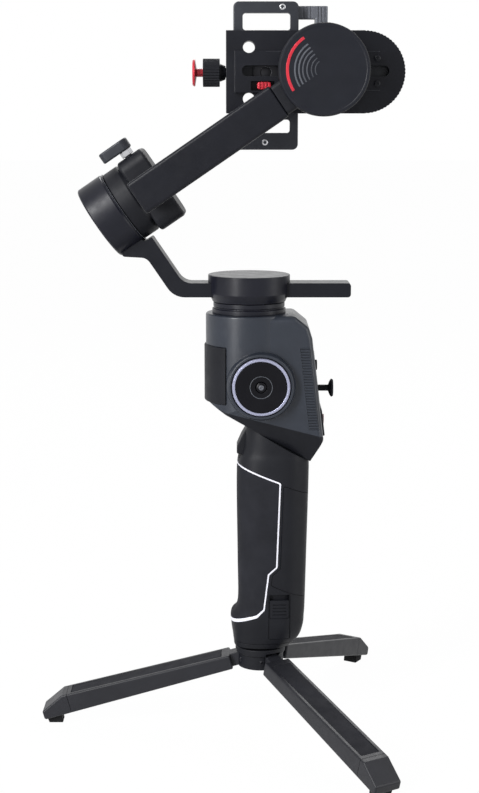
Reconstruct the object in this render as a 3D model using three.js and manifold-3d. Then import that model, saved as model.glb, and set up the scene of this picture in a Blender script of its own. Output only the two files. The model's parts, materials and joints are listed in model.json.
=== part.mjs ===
// Handheld three-axis gimbal stabilizer on a folding mini tripod.
// Millimetres, +Z up. The motors hold the camera plate on its side, for upright shots.
import * as THREE from 'three';
import { mergeVertices } from 'three/addons/utils/BufferGeometryUtils.js';
import Module from 'manifold-3d';

const wasm = await Module();
wasm.setup();
const { Manifold, Mesh: SolidMesh } = wasm;

// ---------------------------------------------------------------- driving dimensions
const GAP = 0.3;              // running clearance between pieces
const MOTOR_SIDES = 30;       // facets of a motor or the head
const SIDES = 24;             // facets of a wheel, hub or knob
const SMALL_SIDES = 12;       // facets of a pin, screw or button
const WALL = 2.4;             // moulded shell wall
const FLATNESS = 0.004;       // faces this close to one plane are merged

// Tripod
const TRIPOD_X = 7;           // tripod axis, right of the pan axis
const FOOT_REACH = 131;       // tripod axis to toe
const TOE_Z = 7.7;            // middle of the toe above the ground
const LEG_WIDTH = 17;
const LEG_ROOT_DEPTH = 8;
const LEG_TOE_DEPTH = 12;
const TOE_SLANT = [14, 6.5];  // length and drop of the slanted toe
const LEG_ANGLES = { left: 180, front: -59, back: 59 };
const TONGUE_WIDTH = 9;
const PIVOT_RADIUS = 11;      // tripod axis to leg pin
const PIN_RADIUS = 1.5;
const HUB_RADIUS = 14.9;
const HUB_BODY_RADIUS = 13.8;
const HUB_BOTTOM = 36;
const HUB_BODY_TOP = HUB_BOTTOM + 9;
const HUB_TOP = HUB_BOTTOM + 12.6;
const PIVOT_Z = HUB_BOTTOM + 5;
const SCREW_RADIUS = 3.1;
const SCREW_HEAD_RADIUS = SCREW_RADIUS + 1.6;
const FOOT_LENGTH = 9;
const FOOT_WIDTH = 9;
const LEG_SLOPE = Math.atan2(PIVOT_Z - TOE_Z, FOOT_REACH - PIVOT_RADIUS);   // below level

// Handle
const BASE_Z = HUB_TOP + 1.4; // underside of the handle
const BASE_THICK = 3;
const GRIP_LENGTH = 110;
const GRIP_TOP = BASE_Z + GRIP_LENGTH;
const GRIP_FRONT = -7;
const GRIP_REAR = 35.2;
const GRIP_HALF_DEPTH = 19.5;
const SLEEVE_THICK = 1.6;
const TRIM_WIDTH = 1.1;
const SEAM_TOP_Z = GRIP_TOP - 9;                   // upper corner of the rubber pad
const SEAM_X = 17.6;
const DOOR_LEFT = SEAM_X + 2.5;
const DOOR_BOTTOM = BASE_Z + 37;
const DOOR_SLIDE = THREE.MathUtils.degToRad(24);   // below level, towards the rear
const LATCH_LEFT = 12.4;
const LATCH_RIGHT = 23.5;
const LATCH_BOTTOM = BASE_Z + 20;
const LATCH_TOP = LATCH_BOTTOM + 11;
const LATCH_TRAVEL = 2;
const BATTERY_LENGTH = 65;
const BATTERY_BACK = 25;

// Head
const HEAD_HEIGHT = 64;
const CHIN_REAR_Z = GRIP_TOP;
const CHIN_FRONT_Z = GRIP_TOP + 25;
const HEAD_TOP = CHIN_FRONT_Z + HEAD_HEIGHT;
const HEAD_RADIUS = 25;       // round front of the head, about the pan axis
const SHOULDER_X = 23;        // where the top starts to slope down to the rear
const SHOULDER_DROP = 13;
const HEAD_REAR_TOP = 36;
const HEAD_REAR = 42;
const HEAD_HALF_DEPTH = 22;
const WHEEL_X = 6.8;
const WHEEL_Z = CHIN_FRONT_Z + 24.4;
const WHEEL_RADIUS = 16.5;
const WHEEL_THICK = 6.5;
const WHEEL_RING = 1.9;       // width of the bright ring
const SPINDLE_RADIUS = 3;
const BOSS_RADIUS = WHEEL_RADIUS + 2.1;
const BOSS_DEPTH = 3;
const COVER_EDGE_X = -13.5;   // rear edge of the front cover
const COVER_THICK_OUT = 0.9;
const COVER_BOTTOM = CHIN_FRONT_Z + 13;
const COVER_TOP = COVER_BOTTOM + 33;
const JOYSTICK_Z = CHIN_FRONT_Z + 19.5;
const JOYSTICK_RADIUS = 5.4;
const JOYSTICK_LENGTH = 9.4;
const JOYSTICK_STEM = 1.8;
const JOYSTICK_COLLAR = 4.6;
const JOYSTICK_HOLE = 4;
const MODE_Z = CHIN_FRONT_Z + 33;
const POWER_Z = CHIN_FRONT_Z + 1;
const BUTTON_RADIUS = 3;
const PANEL_HALF = 11;
const PANEL_BOTTOM = CHIN_REAR_Z + 18;
const PANEL_TOP = HEAD_TOP - 21;
const PANEL_DEPTH = 2.2;
const VENT_RIBS = 24;
const VENT_X = [31, 36.5];
const VENT_BOTTOM = CHIN_FRONT_Z - 7;
const VENT_TOP = HEAD_TOP - 18;
const BOARD_LEFT = 10;
const BOARD_RIGHT = 30;
const BOARD_BOTTOM = CHIN_FRONT_Z + 3;
const BOARD_TOP = BOARD_BOTTOM + 38;
const BOARD_BACK = 6;
const TRIGGER_HALF_WIDTH = 7.8;

// Pan axis
const COLLAR_HEIGHT = 6.2;
const COLLAR_RADIUS = 20.6;
const ROTOR_BOTTOM = HEAD_TOP + COLLAR_HEIGHT + GAP;
const ROTOR_TOP = ROTOR_BOTTOM + 15.5;
const ROTOR_RADIUS = 23.6;
const PAN_BAR_THICK = 8.2;
const PAN_BAR_WIDTH = 18;
const PAN_BAR_Z = ROTOR_BOTTOM + 7;                // mid height of the bar
const PAN_BAR_END = 58.3;
const SHAFT_RADIUS = 5;
const CORE_RADIUS = 16.8;
const CORE_HEIGHT = 10;

// Clamp levers
const LEVER_LENGTH = 10.5;
const LEVER_ROOT_RADIUS = 4.6;
const LEVER_TIP_RADIUS = 3.4;
const STEM_RADIUS = 2.2;
const NUT_RADIUS = 3.6;

// Roll axis: a slanting line in the XZ plane
const ROLL_CENTRE = [-79.3, PAN_BAR_Z + 41.7];
const ROLL_RISE = [117.6, 80];                     // from the roll motor to the tilt motor
const ROLL_RADIUS = 22.4;
const ROLL_BORE = 17.5;
const ROLL_BACK = -7.6;       // along the roll axis, from the housing's centre
const ROLL_FRONT = 9.1;
const ROLL_CLAMP_START = 20.3;
const ROLL_CLAMP_END = 37;
const ROLL_CLAMP_LOW = -23;
const ROLL_CLAMP_HIGH = 22;
const ROLL_CLAMP_HALF_DEPTH = 17;
const ROLL_LEVER_Y = -10;
const RISER_START = 4.2;      // sloping end of the pan arm, along the roll axis
const RISER_END = 13.4;
const ARM_THICK = 9.4;        // slide bar, along the roll axis
const ARM_START = ROLL_CLAMP_START + 3.7;
const ARM_MIDDLE = ARM_START + ARM_THICK / 2;
const ARM_HALF_WIDTH = 9.4;
const ARM_FAR = 30;
const BEAM_DEPTH = 12;
const BEAM_END = 114;

// Tilt axis
const TILT_CENTRE = [ROLL_CENTRE[0] + ROLL_RISE[0], ROLL_CENTRE[1] + ROLL_RISE[1]];
const TILT_RADIUS = 23.8;
const TILT_BORE = 17.5;
const TILT_FRONT = -79;
const TILT_BACK = TILT_FRONT + 16;
const COVER_THICK = 2;
const ARM_NEAR = TILT_FRONT + 3;
const TILT_CLAMP_RADIUS = 20;
const TILT_CLAMP_FRONT = TILT_BACK + 0.5;
const TILT_LEVER_LENGTH = 33;

// Bracket and camera plate
const CHANNEL_FRONT = TILT_CLAMP_FRONT + 7.5;
const BRACKET_FRONT = CHANNEL_FRONT + 3;
const BRACKET_BACK = BRACKET_FRONT + 6;
const BRACKET_LEFT = TILT_CENTRE[0] - 51;
const BRACKET_RIGHT = TILT_CENTRE[0] + 44.5;
const BRACKET_HALF_HEIGHT = 21.7;
const CHANNEL_HALF_HEIGHT = 11;
const SLOT_HALF_HEIGHT = STEM_RADIUS + 0.6;
const SLOT_LEFT = BRACKET_LEFT + 8.6;
const SLOT_RIGHT = BRACKET_RIGHT - 8.8;
const HOLE_RADIUS = 3.2;
const HOLE_X = BRACKET_LEFT + 12.2;
const HOLE_SPREAD = 13.5;     // above and below the slot
const PLATE_LEFT = BRACKET_LEFT + 3.9;
const PLATE_RIGHT = PLATE_LEFT + 34.8;
const PLATE_BOTTOM = TILT_CENTRE[1] - 41.5;
const PLATE_TOP = PLATE_BOTTOM + 78;
const PLATE_THICK = 6;
const PLATE_FRONT = BRACKET_BACK + GAP;
const PLATE_BACK = PLATE_FRONT + PLATE_THICK;
const PLATE_MIDDLE = (PLATE_LEFT + PLATE_RIGHT) / 2;
const PLATE_BORDER = 5;
const PLATE_WINDOWS = [[PLATE_TOP - 15, PLATE_TOP - 6], [PLATE_BOTTOM + 9, PLATE_BOTTOM + 16]];
const JAW_HALF_HEIGHT = 20;
const RAIL_THICK = 3.1;
const CAMERA_SCREW_RADIUS = 2.9;
const KNOB_Z = TILT_CENTRE[1] - 0.7;
const KNOB_RADIUS = 7.5;
const KNOB_LENGTH = 9;
const STUD_RADIUS = 2.5;
const SAFETY_PIN_RADIUS = 2.2;
const SAFETY_TRAVEL = 3;
const PAD_RISE = 0.8;
const STOP_RIGHT = PLATE_RIGHT + 15.8;
const STOP_THICK = 5;
const STOP_LUG_HEIGHT = 7;
const STOP_POST_WIDTH = 6.6;
const STOP_POST_HEIGHT = 26;

// ---------------------------------------------------------------- colours
const FINISHES = {
  plastic: [0x2b2d31, 0.55, 0.0],
  glossy: [0x33363b, 0.3, 0.1],
  rubber: [0x3a3b3e, 0.9, 0.0],
  anodised: [0x202226, 0.4, 0.6],
  grey: [0x56585c, 0.45, 0.5],
  white: [0xdddde2, 0.4, 0.0],
  steel: [0xb9bbc0, 0.3, 0.9],
  red: [0xb83038, 0.35, 0.3],
  green: [0x1f5a35, 0.6, 0.0],
  copper: [0xa8683a, 0.4, 0.8],
  cell: [0x2f5f8a, 0.5, 0.0],
};

function finish(name) {
  const [color, roughness, metalness] = FINISHES[name];
  return new THREE.MeshStandardMaterial({ color, roughness, metalness });
}

// ---------------------------------------------------------------- solids from three.js geometry
function solid(geometry) {
  geometry.deleteAttribute('normal');
  geometry.deleteAttribute('uv');
  const merged = mergeVertices(geometry, 1e-4);
  const positions = merged.attributes.position.array;
  const triangles = [];
  for (let i = 0; i < merged.index.count; i += 3) {
    const [a, b, c] = [0, 1, 2].map((k) => merged.index.getX(i + k));
    if (a !== b && b !== c && c !== a) triangles.push(a, b, c);
  }
  const vertProperties = new Float32Array(positions);
  const outward = new Manifold(new SolidMesh({
    numProp: 3, vertProperties, triVerts: new Uint32Array(triangles),
  }));
  if (outward.volume() > 0) return outward;
  return new Manifold(new SolidMesh({
    numProp: 3, vertProperties, triVerts: new Uint32Array(triangles.reverse()),
  }));
}

function outline(points) {
  return new THREE.Shape(points.map(([a, b]) => new THREE.Vector2(a, b)));
}

function roundedRect(a0, b0, a1, b1, radius) {
  const shape = new THREE.Shape();
  shape.moveTo(a0 + radius, b0);
  shape.lineTo(a1 - radius, b0);
  shape.absarc(a1 - radius, b0 + radius, radius, -Math.PI / 2, 0);
  shape.lineTo(a1, b1 - radius);
  shape.absarc(a1 - radius, b1 - radius, radius, 0, Math.PI / 2);
  shape.lineTo(a0 + radius, b1);
  shape.absarc(a0 + radius, b1 - radius, radius, Math.PI / 2, Math.PI);
  shape.lineTo(a0, b0 + radius);
  shape.absarc(a0 + radius, b0 + radius, radius, Math.PI, Math.PI * 1.5);
  shape.closePath();
  return shape;
}

// The same outline as straight runs, without repeated points where two runs meet.
function faceted(shape, curveSegments) {
  const points = shape.getPoints(curveSegments);
  return new THREE.Shape(points.filter((point, i) => {
    const next = points[(i + 1) % points.length];
    return point.distanceTo(next) > 1e-3;
  }));
}

// An outline drawn across an axis (XY for z, XZ for y, YZ for x), thickened along that axis.
function plate(axis, shape, from, to, bevel = 0, curveSegments = 4) {
  const geometry = new THREE.ExtrudeGeometry(faceted(shape, curveSegments), {
    depth: to - from - 2 * bevel,
    bevelEnabled: bevel > 0,
    bevelThickness: bevel,
    bevelSize: bevel,
    bevelOffset: -bevel,
    bevelSegments: 1,
  });
  geometry.translate(0, 0, bevel);
  if (axis === 'z') return solid(geometry.translate(0, 0, from));
  if (axis === 'y') return solid(geometry.rotateX(Math.PI / 2).translate(0, to, 0));
  const cyclic = new THREE.Matrix4().set(0, 0, 1, from, 1, 0, 0, 0, 0, 1, 0, 0, 0, 0, 0, 1);
  return solid(geometry.applyMatrix4(cyclic));
}

// A profile of [radius, height] points turned about an axis through (a, b).
function turned(axis, [a, b], profile, sides = SIDES) {
  const points = profile.map(([radius, height]) => new THREE.Vector2(radius, height));
  const geometry = new THREE.LatheGeometry(points, sides);
  if (axis === 'z') return solid(geometry.rotateX(Math.PI / 2).translate(a, b, 0));
  if (axis === 'y') return solid(geometry.translate(a, 0, b));
  return solid(geometry.rotateZ(-Math.PI / 2).translate(0, a, b));
}

function rod(axis, centre, radius, from, to, sides = SMALL_SIDES, edge = 0) {
  return turned(axis, centre, [
    [0, from], [radius - edge, from], [radius, from + edge],
    [radius, to - edge], [radius - edge, to], [0, to],
  ].filter(([r, h], i, all) => i === 0 || r !== all[i - 1][0] || h !== all[i - 1][1]), sides);
}

function tube(axis, centre, inner, outer, from, to, sides = SMALL_SIDES) {
  const profile = [[inner, from], [outer, from], [outer, to], [inner, to], [inner, from]];
  return turned(axis, centre, profile, sides);
}

function block(x0, x1, y0, y1, z0, z1) {
  const geometry = new THREE.BoxGeometry(x1 - x0, y1 - y0, z1 - z0);
  return solid(geometry.translate((x0 + x1) / 2, (y0 + y1) / 2, (z0 + z1) / 2));
}

// A column of rounded sections [z, front, rear, halfDepth], each grown or shrunk by an offset.
function loft(sections, offset = 0, corner = 2.7, points = 20) {
  const positions = [];
  for (const [z, front, rear, halfDepth] of sections) {
    const half = (rear - front) / 2 + offset;
    for (let i = 0; i < points; i += 1) {
      const angle = (i / points) * Math.PI * 2;
      const x = Math.sign(Math.cos(angle)) * Math.abs(Math.cos(angle)) ** (2 / corner);
      const y = Math.sign(Math.sin(angle)) * Math.abs(Math.sin(angle)) ** (2 / corner);
      positions.push((front + rear) / 2 + half * x, (halfDepth + offset) * y, z);
    }
  }
  const index = [];
  const last = (sections.length - 1) * points;
  for (let i = 0; i < points; i += 1) {
    const j = (i + 1) % points;
    for (let row = 0; row < last; row += points) {
      index.push(row + i, row + j, row + points + j, row + i, row + points + j, row + points + i);
    }
    if (i > 0 && i < points - 1) index.push(0, i + 1, i, last, last + i, last + i + 1);
  }
  const geometry = new THREE.BufferGeometry();
  geometry.setAttribute('position', new THREE.Float32BufferAttribute(positions, 3));
  geometry.setIndex(index);
  return solid(geometry);
}

// ---------------------------------------------------------------- scene graph
const gimbal = new THREE.Group();
const rollFrame = new THREE.Group();
const rollAngle = Math.atan2(TILT_CENTRE[1] - ROLL_CENTRE[1], TILT_CENTRE[0] - ROLL_CENTRE[0]);
const rollReach = Math.hypot(TILT_CENTRE[1] - ROLL_CENTRE[1], TILT_CENTRE[0] - ROLL_CENTRE[0]);
rollFrame.position.set(ROLL_CENTRE[0], 0, ROLL_CENTRE[1]);
rollFrame.rotation.y = -rollAngle;
gimbal.add(rollFrame);

function geometryOf(manifold) {
  const { vertProperties, triVerts } = manifold.asOriginal().simplify(FLATNESS).getMesh();
  const geometry = new THREE.BufferGeometry();
  geometry.setAttribute('position', new THREE.Float32BufferAttribute(vertProperties, 3));
  geometry.setIndex(new THREE.Uint32BufferAttribute(triVerts, 1));
  geometry.computeVertexNormals();
  return geometry;
}

function add(name, manifold, look, parent = gimbal) {
  const mesh = new THREE.Mesh(geometryOf(manifold), finish(look));
  mesh.name = name;
  parent.add(mesh);
}

// ---------------------------------------------------------------- tripod
function tripodHub() {
  let hub = turned('z', [TRIPOD_X, 0], [
    [0, HUB_BOTTOM], [HUB_BODY_RADIUS - 1, HUB_BOTTOM], [HUB_BODY_RADIUS, HUB_BOTTOM + 1],
    [HUB_BODY_RADIUS, HUB_BODY_TOP - 1], [HUB_RADIUS, HUB_BODY_TOP], [HUB_RADIUS, HUB_TOP],
    [0, HUB_TOP],
  ]);
  const hole = rod('z', [TRIPOD_X, 0], SCREW_RADIUS + GAP, HUB_BOTTOM - 1, HUB_TOP + 1);
  const counterbore = rod('z', [TRIPOD_X, 0], SCREW_RADIUS + 2, HUB_BOTTOM - 1, HUB_BOTTOM + 3);
  hub = hub.subtract(hole).subtract(counterbore);
  const slotHalf = TONGUE_WIDTH / 2 + GAP;
  const slotStart = PIVOT_RADIUS - LEG_ROOT_DEPTH / 2 - 0.6;
  for (const angle of Object.values(LEG_ANGLES)) {
    const slot = block(slotStart, HUB_RADIUS + 2, -slotHalf, slotHalf, HUB_BOTTOM - 1, HUB_TOP - 2.4);
    const bore = rod('y', [PIVOT_RADIUS, PIVOT_Z], PIN_RADIUS + GAP, -HUB_RADIUS, HUB_RADIUS, SMALL_SIDES);
    const cut = slot.add(bore).rotate([0, 0, angle]).translate([TRIPOD_X, 0, 0]);
    hub = hub.subtract(cut);
  }
  add('tripod_hub', hub, 'plastic');
  const padTop = BASE_Z - GAP;
  const padRadius = HUB_RADIUS - 2.4;
  const pad = tube('z', [TRIPOD_X, 0], SCREW_RADIUS + 2, padRadius, HUB_TOP + GAP / 2, padTop, SIDES);
  add('hub_pad', pad, 'rubber');
}

function tripodScrew() {
  const headTop = HUB_BOTTOM + 2.7;
  const head = rod('z', [TRIPOD_X, 0], SCREW_HEAD_RADIUS, HUB_BOTTOM + 0.2, headTop, SMALL_SIDES, 0.4);
  const shank = rod('z', [TRIPOD_X, 0], SCREW_RADIUS, headTop, BASE_Z + 8, SMALL_SIDES, 0.5);
  add('tripod_screw', head.add(shank), 'steel');
}

function legProfile(length) {
  const half = LEG_ROOT_DEPTH / 2;
  const toeDrop = LEG_TOE_DEPTH / 2 - 1;
  const shape = new THREE.Shape();
  shape.moveTo(0, -half);
  shape.lineTo(length, -toeDrop);
  const toeTop = LEG_TOE_DEPTH - toeDrop;
  shape.lineTo(length, toeTop - TOE_SLANT[1]);
  shape.lineTo(length - TOE_SLANT[0], toeTop);
  shape.lineTo(0, half);
  shape.absarc(0, 0, half, Math.PI / 2, Math.PI * 1.5);
  return shape;
}

function tripodLegs() {
  const slope = LEG_SLOPE;
  const length = (FOOT_REACH - PIVOT_RADIUS) / Math.cos(slope);
  const bodyStart = (HUB_RADIUS - PIVOT_RADIUS) / Math.cos(slope) + 2.5;
  const body = plate('y', legProfile(length), -LEG_WIDTH / 2, LEG_WIDTH / 2, 1, 5)
    .intersect(block(bodyStart, length + 1, -LEG_WIDTH, LEG_WIDTH, -20, 20));
  const tongue = plate('y', legProfile(length), -TONGUE_WIDTH / 2, TONGUE_WIDTH / 2, 0, 5)
    .intersect(block(-10, bodyStart + 1, -LEG_WIDTH, LEG_WIDTH, -20, 20));
  const bore = rod('y', [0, 0], PIN_RADIUS + GAP, -LEG_WIDTH, LEG_WIDTH);
  const panelDepth = 0.7;
  const panel = block(bodyStart + 6, length - 22, -LEG_WIDTH / 2 + 2.5, LEG_WIDTH / 2 - 2.5, -20, 20);
  const topSkin = plate('y', legProfile(length), -LEG_WIDTH, LEG_WIDTH, 0, 5)
    .subtract(plate('y', legProfile(length), -LEG_WIDTH, LEG_WIDTH, 0, 5).translate([0, 0, -panelDepth]))
    .intersect(panel);
  const upper = block(bodyStart, length, -LEG_WIDTH, LEG_WIDTH, 0, 20);
  const leg = body.add(tongue).subtract(bore).subtract(topSkin.intersect(upper));
  const toe = new THREE.Vector2(length - FOOT_LENGTH - 1, 1 - LEG_TOE_DEPTH / 2 - GAP / 2);
  const sole = PIVOT_Z;
  const footTop = [toe.x, toe.y, toe.x + FOOT_LENGTH, toe.y];
  for (const [side, angle] of Object.entries(LEG_ANGLES)) {
    const group = new THREE.Group();
    group.position.set(TRIPOD_X, 0, 0);
    group.rotation.z = THREE.MathUtils.degToRad(angle);
    gimbal.add(group);
    const hinge = new THREE.Group();
    hinge.position.set(PIVOT_RADIUS, 0, PIVOT_Z);
    hinge.rotation.y = slope;
    group.add(hinge);
    add(`leg_${side}`, leg, 'plastic', hinge);
    const pinHalf = Math.sqrt(HUB_BODY_RADIUS ** 2 - PIVOT_RADIUS ** 2) - 0.6;
    add(`leg_pin_${side}`, rod('y', [0, 0], PIN_RADIUS, -pinHalf, pinHalf), 'steel', hinge);
    add(`foot_${side}`, footPad(footTop, slope, sole), 'rubber', hinge);
  }
}

// A wedge under the toe whose sole is level and lies on the ground plane.
function footPad([x0, z0, x1, z1], slope, drop) {
  const soleAt = (x) => (-drop + x * Math.sin(slope)) / Math.cos(slope);
  const shape = outline([[x0, z0], [x0 + 1, soleAt(x0 + 1)], [x1 - 1, soleAt(x1 - 1)], [x1, z1]]);
  return plate('y', shape, -FOOT_WIDTH / 2, FOOT_WIDTH / 2);
}

// ---------------------------------------------------------------- handle
const CHIN_SLOPE = (CHIN_REAR_Z - CHIN_FRONT_Z) / (GRIP_REAR - GRIP_FRONT);
const chinZ = (x) => CHIN_FRONT_Z + (x + 2) * CHIN_SLOPE;

const HANDLE = [
  [BASE_Z, GRIP_FRONT - 1.8, GRIP_REAR - 10.7, GRIP_HALF_DEPTH - 4.5],
  [BASE_Z + 6, GRIP_FRONT - 2.4, GRIP_REAR - 5.2, GRIP_HALF_DEPTH - 2.3],
  [BASE_Z + 13, GRIP_FRONT - 3.4, GRIP_REAR - 2.8, GRIP_HALF_DEPTH - 0.9],
  [BASE_Z + 19, GRIP_FRONT - 3.4, GRIP_REAR - 2.3, GRIP_HALF_DEPTH - 0.5],
  [BASE_Z + 26, GRIP_FRONT + 0.5, GRIP_REAR - 1.9, GRIP_HALF_DEPTH - 0.3],
  [GRIP_TOP - 55, GRIP_FRONT + 0.4, GRIP_REAR - 1.2, GRIP_HALF_DEPTH],
  [GRIP_TOP - 2, GRIP_FRONT, GRIP_REAR, GRIP_HALF_DEPTH - 0.4],
  [GRIP_TOP + 10, GRIP_FRONT + 3, GRIP_REAR - 0.6, GRIP_HALF_DEPTH - 1.5],
  [GRIP_TOP + 32, GRIP_FRONT + 5.5, GRIP_REAR - 0.6, GRIP_HALF_DEPTH - 2],
];

const PAD_FRONT = GRIP_FRONT - 20;                 // well outside the handle
const PAD_LOW_Z = BASE_Z + 17;
const PAD_EDGE = [
  [PAD_FRONT, SEAM_TOP_Z + 14], [GRIP_FRONT, SEAM_TOP_Z + 9.5], [SEAM_X, SEAM_TOP_Z],
  [SEAM_X - 1.8, BASE_Z + 51.5], [SEAM_X - 6.6, BASE_Z + 47], [SEAM_X - 9.2, PAD_LOW_Z + 8.5],
  [SEAM_X - 13.2, PAD_LOW_Z + 4.8], [GRIP_FRONT - 4, PAD_LOW_Z], [PAD_FRONT, PAD_LOW_Z],
];

// The door's upper and lower edges are parallel, so that it slides out along them.
const DOOR_REAR = GRIP_REAR + 20;                  // well outside the handle
const doorDrop = (x) => (x - DOOR_LEFT) * Math.tan(DOOR_SLIDE);
const DOOR_EDGE = [
  [SEAM_X - 4.4, DOOR_BOTTOM - doorDrop(SEAM_X - 4.4)], [SEAM_X - 3.8, BASE_Z + 46],
  [SEAM_X + 0.8, BASE_Z + 50.3], [DOOR_LEFT, SEAM_TOP_Z - 1],
  [DOOR_REAR, SEAM_TOP_Z - 1 - doorDrop(DOOR_REAR)],
  [DOOR_REAR, DOOR_BOTTOM - doorDrop(DOOR_REAR)],
];

function skin(thickness) {
  return loft(HANDLE).subtract(loft(HANDLE, -thickness));
}

// A region of the side view, widened by an amount, right through the handle.
function through(points, grow = 0) {
  const shape = outline(points);
  if (grow === 0) return plate('y', shape, -40, 40);
  const geometry = new THREE.ExtrudeGeometry(shape, {
    depth: 80, bevelEnabled: true, bevelThickness: 0.01, bevelSize: grow, bevelSegments: 1,
  });
  return solid(geometry.rotateX(Math.PI / 2).translate(0, 40, 0));
}

function cutAboveChin() {
  return plate('y', outline([
    [-40, chinZ(-40)], [80, chinZ(80)], [80, 300], [-40, 300],
  ]), -60, 60);
}

function handleShells() {
  const sleeveRoom = skin(SLEEVE_THICK + GAP).intersect(through(PAD_EDGE, TRIM_WIDTH + 0.3));
  const doorRoom = loft(HANDLE, 1).intersect(through(DOOR_EDGE, GAP));
  const latchRoom = block(LATCH_LEFT - GAP, LATCH_RIGHT + GAP, -30, 0, LATCH_BOTTOM - GAP,
    LATCH_TOP + LATCH_TRAVEL + GAP).subtract(loft(HANDLE, -2.2));
  const base = block(-40, 60, -40, 40, 0, BASE_Z + BASE_THICK + GAP);
  const shell = loft(HANDLE).subtract(loft(HANDLE, -WALL - SLEEVE_THICK))
    .subtract(base).subtract(cutAboveChin()).subtract(sleeveRoom).subtract(doorRoom).subtract(latchRoom)
    .subtract(triggerRoom());
  add('handle_shell_near', shell.intersect(block(-40, 60, -40, -GAP / 2, 0, 300)), 'plastic');
  add('handle_shell_far', shell.intersect(block(-40, 60, GAP / 2, 40, 0, 300)), 'plastic');
}

function gripPieces() {
  const layer = skin(SLEEVE_THICK);
  const sleeve = layer.intersect(through(PAD_EDGE));
  add('grip_sleeve', sleeve, 'rubber');
  const ring = layer.intersect(through(PAD_EDGE, TRIM_WIDTH)).subtract(through(PAD_EDGE, 0.12));
  add('grip_trim', ring, 'white');
}

function batteryPieces() {
  const door = loft(HANDLE).subtract(loft(HANDLE, -WALL)).intersect(through(DOOR_EDGE));
  add('battery_door', door, 'plastic');
  const latch = loft(HANDLE, -0.2).subtract(loft(HANDLE, -1.6))
    .intersect(block(LATCH_LEFT, LATCH_RIGHT, -30, -2, LATCH_BOTTOM, LATCH_TOP));
  add('battery_latch', latch, 'plastic');
  const half = GRIP_HALF_DEPTH - SLEEVE_THICK - WALL - 2.4;
  const packBottom = BASE_Z + 30;
  const packTop = packBottom + BATTERY_LENGTH;
  const pack = plate('z', roundedRect(0, -half, BATTERY_BACK, half, 5), packBottom, packTop, 1);
  add('battery_pack', pack, 'cell');
}

function basePieces() {
  const plateShape = loft(HANDLE, -0.1).intersect(block(-40, 60, -40, 40, BASE_Z, BASE_Z + BASE_THICK));
  const insertRadius = SCREW_RADIUS + 2.7;
  const collarTop = BASE_Z + 10;
  const hole = rod('z', [TRIPOD_X, 0], insertRadius + GAP, BASE_Z - 1, collarTop + 10);
  const collar = rod('z', [TRIPOD_X, 0], insertRadius + 2.8, BASE_Z + BASE_THICK - 0.5, collarTop);
  add('base_plate', plateShape.add(collar).subtract(hole), 'plastic');
  const insert = tube('z', [TRIPOD_X, 0], SCREW_RADIUS + GAP, insertRadius, BASE_Z + 0.4, collarTop);
  add('thread_insert', insert, 'steel');
}

// ---------------------------------------------------------------- head
const TRIGGER_PIVOT = [1.5, CHIN_FRONT_Z - 5.5];

// The recess that the trigger swings back into.
function triggerRoom() {
  const [x, z] = TRIGGER_PIVOT;
  const half = TRIGGER_HALF_WIDTH + 0.7;
  return plate('y', outline([
    [x - 22, z + 11.5], [x + 5, z + 11.5], [x + 5, z - 3], [x - 1, z - 5.2], [x - 3, z - 9.5],
    [x - 3.2, z - 14.5], [x - 22, z - 14.5],
  ]), -half, half);
}

function trigger() {
  const [x, z] = TRIGGER_PIVOT;
  const lever = plate('y', outline([
    [x + 2.2, z - 2], [x + 2.2, z + 2.2], [x - 3, z + 2.2], [x - 6, z - 3], [x - 8.6, z - 9],
    [x - 8.8, z - 13], [x - 6.6, z - 13], [x - 6, z - 9], [x - 3, z - 4],
  ]), -TRIGGER_HALF_WIDTH, TRIGGER_HALF_WIDTH);
  add('trigger', lever, 'plastic');
}

const HEAD_LOW_Z = CHIN_REAR_Z - 6;
const BACK_CORNER_Z = CHIN_FRONT_Z - 8;
const LOW_CORNER = [GRIP_REAR - 0.4, CHIN_REAR_Z + 1.5];

function headOuter() {
  const round = turned('z', [0, 0], [
    [0, CHIN_REAR_Z - 10], [HEAD_RADIUS, CHIN_REAR_Z - 10], [HEAD_RADIUS, HEAD_TOP - 1],
    [HEAD_RADIUS - 1, HEAD_TOP], [0, HEAD_TOP],
  ], MOTOR_SIDES);
  const top = HEAD_TOP - 0.2;
  const shoulder = top - SHOULDER_DROP;
  const side = new THREE.Shape();
  side.moveTo(-5, top);
  side.lineTo(SHOULDER_X, top);
  side.quadraticCurveTo(SHOULDER_X + 6, top - 1, HEAD_REAR_TOP - 3, shoulder + 7);
  side.quadraticCurveTo(HEAD_REAR_TOP - 0.5, shoulder + 4, HEAD_REAR_TOP, shoulder);
  side.lineTo(HEAD_REAR, CHIN_FRONT_Z - 1);
  side.lineTo(HEAD_REAR + 0.9, BACK_CORNER_Z);
  side.lineTo(...LOW_CORNER);
  side.lineTo(LOW_CORNER[0] - 4, HEAD_LOW_Z);
  side.lineTo(-5, HEAD_LOW_Z);
  const rear = plate('y', side, -HEAD_HALF_DEPTH, HEAD_HALF_DEPTH, 3.5, 8);
  const chinCut = plate('y', outline([
    [-60, chinZ(-2) + 30], [-27, chinZ(-2) + 15.5], [-2, CHIN_FRONT_Z + GAP], [80, chinZ(80) + GAP],
    [80, 100], [-60, 100],
  ]), -60, 60);
  return round.add(rear).subtract(chinCut);
}

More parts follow.
